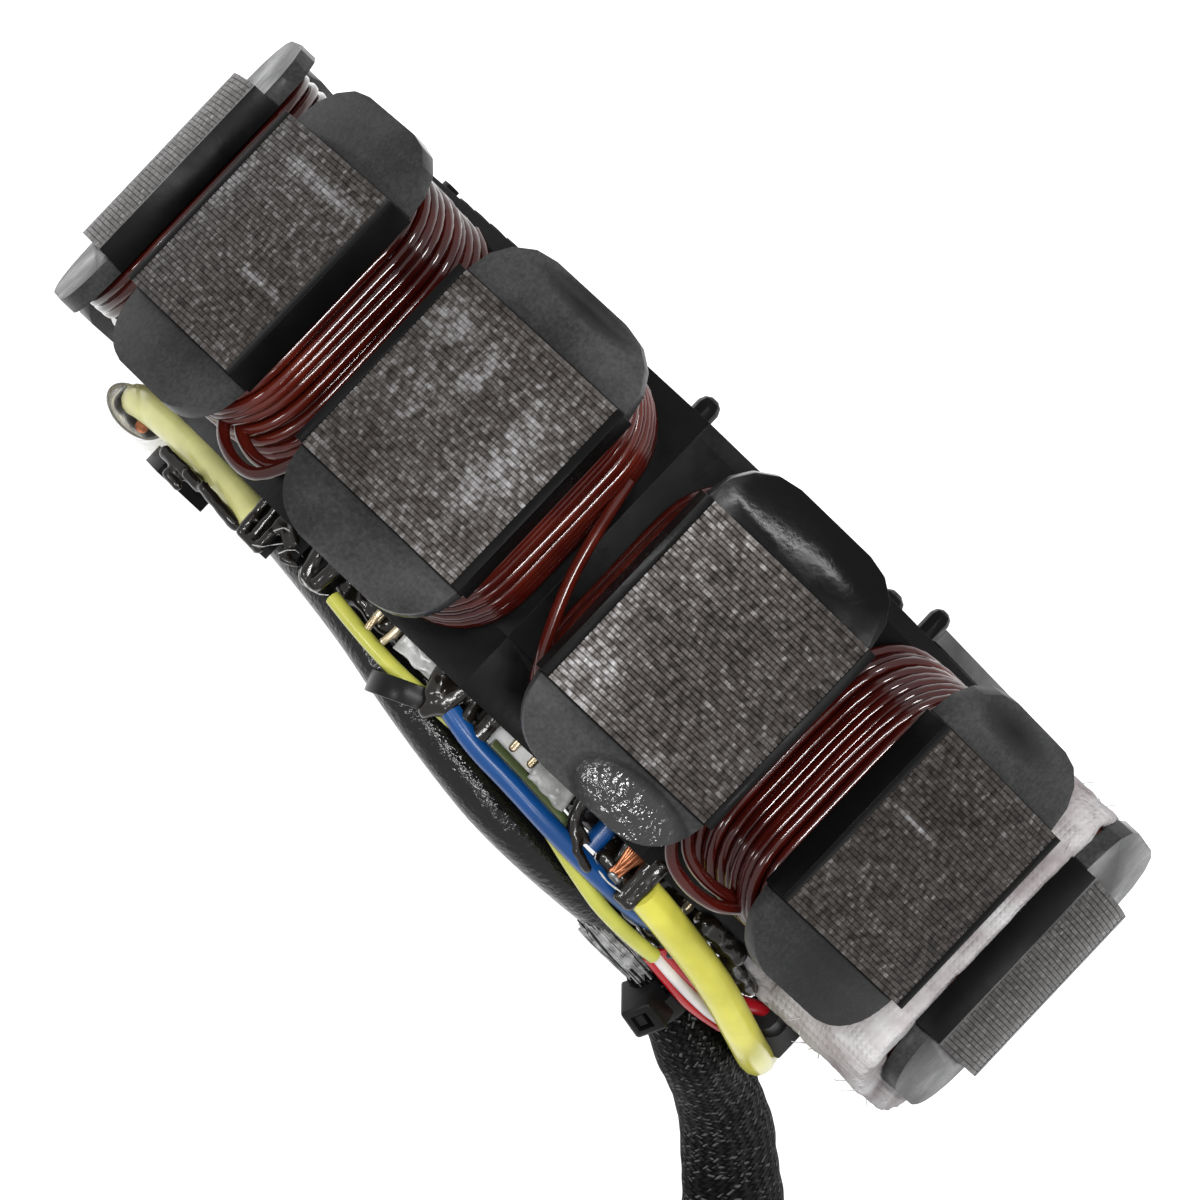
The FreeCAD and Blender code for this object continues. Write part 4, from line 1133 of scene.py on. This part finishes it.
stands_for(round_curve("copper_in_sleeve", [cut_end], 1.3, bare_copper, sides=12), slot="bare_copper")


# %% [markdown]
# The bundle of leads runs in a black varnished tube along the ring and narrows into the braid. A
# cable tie, leaned by the pull of the bundle, holds it to the anchor.

# %% Bundle
bundle_places = [(-38.4, -6.1, 1.2), (-21.5, -6.1, 2.0), (-7.3, -6.1, 3.8), (7.3, -6.1, 5.4)]
bundle_places += [(17.0, -6.2, 6.2)]
bundle_points = [rim_point(*place) for place in bundle_places]
bundle_points += [metres(19.6, -23.0, 28.6), metres(25.0, -23.0, 23.6)]
bundle_thickness = [0.9, 0.95, 1.0, 1.0, 0.97, 0.9, 0.7]
bundle = round_curve("bundle_in_tube", [bundle_points], 5.0, black_tube, sides=20, smoothness=12,
                     thickness=bundle_thickness)
stands_for(bundle, "bundle_tube", slot="black_tube")


# %% Straps of cable ties
def strap_ring(name, centre, long_way, axis, half_long, half_short, width, thickness, finish):
    """A closed flat strap about an axis; all lengths in mm."""
    axis = Vector(axis).normalized()
    long_way = Vector(long_way)
    long_way = (long_way - axis * long_way.dot(axis)).normalized()
    mesh = bmesh.new()
    bmesh.ops.create_circle(mesh, segments=72, radius=mm)
    bmesh.ops.scale(mesh, vec=(half_long, half_short, 1.0), verts=mesh.verts)
    bmesh.ops.translate(mesh, vec=(0.0, 0.0, -width / 2 * mm), verts=mesh.verts)
    band = bmesh.ops.extrude_edge_only(mesh, edges=mesh.edges)
    top = [item for item in band["geom"] if isinstance(item, bmesh.types.BMVert)]
    bmesh.ops.translate(mesh, vec=(0.0, 0.0, width * mm), verts=top)
    bmesh.ops.recalc_face_normals(mesh, faces=mesh.faces)
    bmesh.ops.solidify(mesh, geom=mesh.faces[:], thickness=-thickness * mm)
    round_edges(mesh, width=0.12, sharpness=60.0)
    turn = Matrix((long_way, axis.cross(long_way), axis)).transposed().to_4x4()
    turn.translation = Vector(centre) * mm
    bmesh.ops.transform(mesh, matrix=turn, verts=mesh.verts)
    bmesh.ops.recalc_face_normals(mesh, faces=mesh.faces)
    return finished(name, mesh, finish)


tie_nylon = mottled("tie_nylon", grey(0.004), grey(0.010), 0.30, mirror=0.16, scale=200.0)
bundle_strap = strap_ring("bundle_cable_tie", (-3.1, -20.3, 37.2), (-0.92, -0.40, 0.0), (-0.40, 0.92, 0.0),
                          half_long=3.3, half_short=3.7, width=2.1, thickness=0.9, finish=tie_nylon)
sharp_by_angle(stands_for(bundle_strap, "bundle_tie", slot="tie_nylon"))

# %% [markdown]
# The braided sleeve is the free lead. Its route repeats the model's points, moved by a millimetre or
# two near the stator to follow the photograph. The smooth line that the spline makes of them carries
# a tube: pinched by its cable tie, then pressed wide and flat, and round again on the floor.

# %% Route of the braided sleeve
braid_diameter = 8.0
rest = floor_height + braid_diameter / 2
braid_route = [(22.6, -23.6, 25.6), (31.0, -24.3, 19.0), (36.8, -26.6, 10.8), (41.5, -28.2, -1.2)]
braid_route += [(45.9, -31.2, -9.5), (51.0, -36.0, -17.6), (58.0, -43.2, -29.0), (67.5, -53.5, -41.5)]
braid_route += [(81.0, -65.0, -51.0), (98.0, -72.5, rest), (117.0, -70.4, rest), (131.0, -60.0, rest)]
braid_route += [(139.2, -44.5, rest), (141.4, -26.5, rest)]
braid_route = [metres(*point) for point in braid_route]
braid_line = smooth_line(braid_route, 30)

# %% [markdown]
# Two families of strands cross at a slant and take turns on top. The map's length and turn give
# each strand's number; the odd and even cells decide which family lies above. Each crossing has its
# own shade, as real yarn does.

# %% Woven finish of the sleeve
braid_black, braid_surface = new_finish("black_braid", grey(0.010), 0.6, mirror=0.03)
braid_map = add(braid_black.node_tree, "ShaderNodeUVMap", uv_map="along")
along_map, round_map, _ = three_ways(braid_map.outputs["UV"])
strands_round = 24.0
strand_lean = 1.0
strands_per_metre = strands_round * strand_lean / (math.pi * braid_diameter * mm)
along_turns = calculate("MULTIPLY", along_map, strands_per_metre)
slip = calculate("MULTIPLY", speckle(place_on_object(braid_black), 260.0, 2.0), 1.6)
slipped = calculate("ADD", calculate("MULTIPLY", round_map, strands_round), slip)
families = [calculate("ADD", along_turns, slipped), calculate("SUBTRACT", along_turns, slipped)]
ridges = [calculate("ABSOLUTE", calculate("SINE", calculate("MULTIPLY", way, math.pi))) for way in families]
strand_numbers = [calculate("FLOOR", way) for way in families]
over = calculate("PINGPONG", calculate("ADD", *strand_numbers), 1.0)
under = calculate("SUBTRACT", 1.0, over)
weave_height = calculate("MULTIPLY_ADD", ridges[0], over, calculate("MULTIPLY", ridges[1], under))
crossing_number = add(braid_black.node_tree, "ShaderNodeCombineXYZ")
for way, strand_number in zip("XY", strand_numbers):
    join(strand_number, crossing_number.inputs[way])
own_shade = add(braid_black.node_tree, "ShaderNodeTexWhiteNoise", noise_dimensions="2D")
join(crossing_number.outputs["Vector"], own_shade.inputs["Vector"])
yarn = speckle(place_on_object(braid_black), 1500.0, 2.0)
yarn = calculate("MULTIPLY_ADD", own_shade.outputs["Value"], 0.5, yarn)
yarn_level = calculate("MULTIPLY", weave_height, yarn)
# The top stop paints the highest crests pale: painted highlight. The lower stops are the yarn's own tone.
yarn_tone_and_painted_glints = ramp(yarn_level, [
    (0.22, grey(0.0005)), (0.54, grey(0.0018)), (0.78, grey(0.008)), (0.94, grey(0.10))])
join(yarn_tone_and_painted_glints, braid_surface.inputs["Base Color"])
relief(braid_surface, yarn_level, 0.16, 0.9)


# %% The sleeve's tube
braid_table = [(0.0, 1.3, 1.3), (7.0, 1.6, 1.6), (11.0, 2.5, 2.5), (15.0, 3.2, 3.0), (24.0, 3.8, 3.3),
               (36.0, 4.3, 3.2), (48.0, 5.3, 2.9), (56.0, 5.7, 2.8), (76.0, 4.8, 3.4), (100.0, 3.95, 3.95),
               (240.0, 3.95, 3.95)]
braid = soft_tube("braided_sleeve_woven", braid_line, braid_table, 56, braid_black, (0.0, 0.0, 1.0),
                  fold=0.05)
stands_for(braid, "braided_sleeve", slot="braid_black")
print("braid faces:", len(braid.data.polygons))

# %% [markdown]
# At its mouth the braid is cut and frayed: loose ends of yarn, some of them pale, lie back along the
# tube from round the mouth. The pale ones, on the side that looks up, are the black yarn with a
# painted sheen.


# %% Frayed mouth
def frayed_ends(name, thickness, finish, count, facing, seed):
    """Loose yarn ends round the mouth; facing 1 keeps them on the side that looks up."""
    lifted = 1.72 * mm
    chance = random.Random(seed)
    mouth, ahead = braid_line[0], (braid_line[4] - braid_line[0]).normalized()
    across = ahead.cross(Vector((0.0, 0.0, 1.0))).normalized()
    upward = across.cross(ahead)
    lines = []
    for _ in range(count):
        turn = math.pi / 2 + chance.uniform(-math.pi, math.pi) * (1.0 - 0.45 * facing)
        out = across * math.cos(turn) + upward * math.sin(turn)
        start = mouth + ahead * chance.uniform(4.0, 8.5) * mm + out * lifted
        middle = mouth + ahead * chance.uniform(1.0, 3.5) * mm + out * chance.uniform(1.5, 1.9) * mm
        wander = across * chance.uniform(-0.35, 0.35) * mm
        end = mouth + ahead * chance.uniform(-1.2, 0.6) * mm + out * chance.uniform(1.2, 1.7) * mm + wander
        lines.append([start, middle + wander, end])
    stands_for(round_curve(name, lines, thickness, finish, sides=4, smoothness=3), slot="braid_black")


# A pale copy of the black yarn on the upward side: painted sheen.
yarn_with_painted_sheen = mottled("frayed_yarn_with_painted_sheen", grey(0.14), grey(0.52), 0.5, scale=900.0)
frayed_ends("frayed_ends_with_painted_sheen", 0.19, yarn_with_painted_sheen, count=130, facing=1, seed=3)
dark_yarn = mottled("dark_frayed_yarn", grey(0.006), grey(0.03), 0.5, scale=900.0)
frayed_ends("frayed_dark_ends", 0.17, dark_yarn, count=70, facing=0, seed=8)


# %% [markdown]
# The cable tie round the sleeve. Its strap pinches the braid. The head is a tapered block with a
# square window, where the strap's cut end shows; it stands on the lead side of the braid with the
# window towards the camera.


# %% Head of the cable tie
def tie_head(name, centre, window_way, side_way, size, depth, finish):
    """A tapered block with a pushed-in window and a tongue in it; all lengths in mm."""
    taper, window_rim, window_depth, tongue_height = 0.74, 0.55, 1.5, 1.3
    window_way = Vector(window_way).normalized()
    side_way = Vector(side_way)
    side_way = (side_way - window_way * side_way.dot(window_way)).normalized()
    mesh = bmesh.new()
    bmesh.ops.create_cube(mesh, size=1.0)
    bmesh.ops.scale(mesh, vec=(size * mm, size * mm, depth * mm), verts=mesh.verts)
    front = max(mesh.faces, key=lambda face: face.calc_center_median().z)
    bmesh.ops.scale(mesh, vec=(taper, taper, 1.0), verts=front.verts)
    bevel(mesh, upright_edges(mesh) + front.edges[:], width=0.35, segments=3)
    mesh.faces.ensure_lookup_table()
    front = max(mesh.faces, key=lambda face: (round(face.calc_center_median().z, 6), face.calc_area()))
    bmesh.ops.inset_region(mesh, faces=[front], thickness=window_rim * mm)
    pushed = bmesh.ops.extrude_discrete_faces(mesh, faces=[front])["faces"][0]
    bmesh.ops.translate(mesh, vec=(0.0, 0.0, -window_depth * mm), verts=pushed.verts)
    tongue = bmesh.ops.create_cube(mesh, size=1.0)["verts"]
    bmesh.ops.scale(mesh, vec=(size * 0.26 * mm, size * 0.20 * mm, tongue_height * mm), verts=tongue)
    bmesh.ops.translate(mesh, vec=(0.0, -0.25 * mm, (depth / 2 - 1.0) * mm), verts=tongue)
    turn = Matrix((side_way, window_way.cross(side_way), window_way)).transposed().to_4x4()
    turn.translation = Vector(centre) * mm
    bmesh.ops.transform(mesh, matrix=turn, verts=mesh.verts)
    return finished(name, mesh, finish)


tie_station = 12.0 * mm
stations = zip(lengths_along(braid_line), braid_line)
tie_at = min(stations, key=lambda station: abs(station[0] - tie_station))[1]
tie_ahead = (braid_route[1] - braid_route[0]).normalized()
sleeve_strap = strap_ring("sleeve_cable_tie_strap", tie_at / mm, (0.0, 1.0, 0.2), tie_ahead,
                          half_long=2.7, half_short=2.7, width=2.5, thickness=0.7, finish=tie_nylon)
head = tie_head("sleeve_cable_tie_head", (31.7, -26.7, 20.5), (0.30, -0.55, 0.78), tie_ahead,
                size=4.3, depth=4.4, finish=tie_nylon)
for piece in (sleeve_strap, head):
    sharp_by_angle(stands_for(piece, "sleeve_tie", slot="tie_nylon"))

# %% [markdown]
# The plug at the lead's far end is outside the photograph. It is kept plain: a moulded housing and
# a rubber seal, in the finishes such plugs have. The guide behind the grommet has the same nylon.

# %% Plug, seal and guide
plug_nylon = mottled("plug_nylon", grey(0.010), grey(0.018), 0.48, scale=120.0, grain=400.0)
seal = softened("connector_seal", "plug_seal", 0.4, black_rubber, "black_rubber")
plug = softened("lead_connector", "plug_housing", 0.3, plug_nylon, "plug_nylon")
guide_size, guide_centre = metres(3.6, 4.6, 8.0), metres(42.3, -19.8, 6.0)
guide_mesh = bmesh.new()
bmesh.ops.create_cube(guide_mesh, size=1.0)
bmesh.ops.scale(guide_mesh, vec=guide_size, verts=guide_mesh.verts)
bmesh.ops.translate(guide_mesh, vec=guide_centre, verts=guide_mesh.verts)
round_edges(guide_mesh, width=0.25)
sharp_by_angle(stands_for(finished("guide_plate", guide_mesh, plug_nylon), "lead_guide", slot="plug_nylon"))

# %% [markdown]
# A scrap of varnished insulating paper stands up behind a ledge on the far side. It is dark grey,
# a little glossy and slightly warped.

# %% Insulating paper
paper_grey = mottled("paper_grey", grey(0.055), grey(0.14), 0.4, mirror=0.35, scale=140.0)
softened("paper_flap", "insulating_paper", 0.08, paper_grey, "paper_grey")
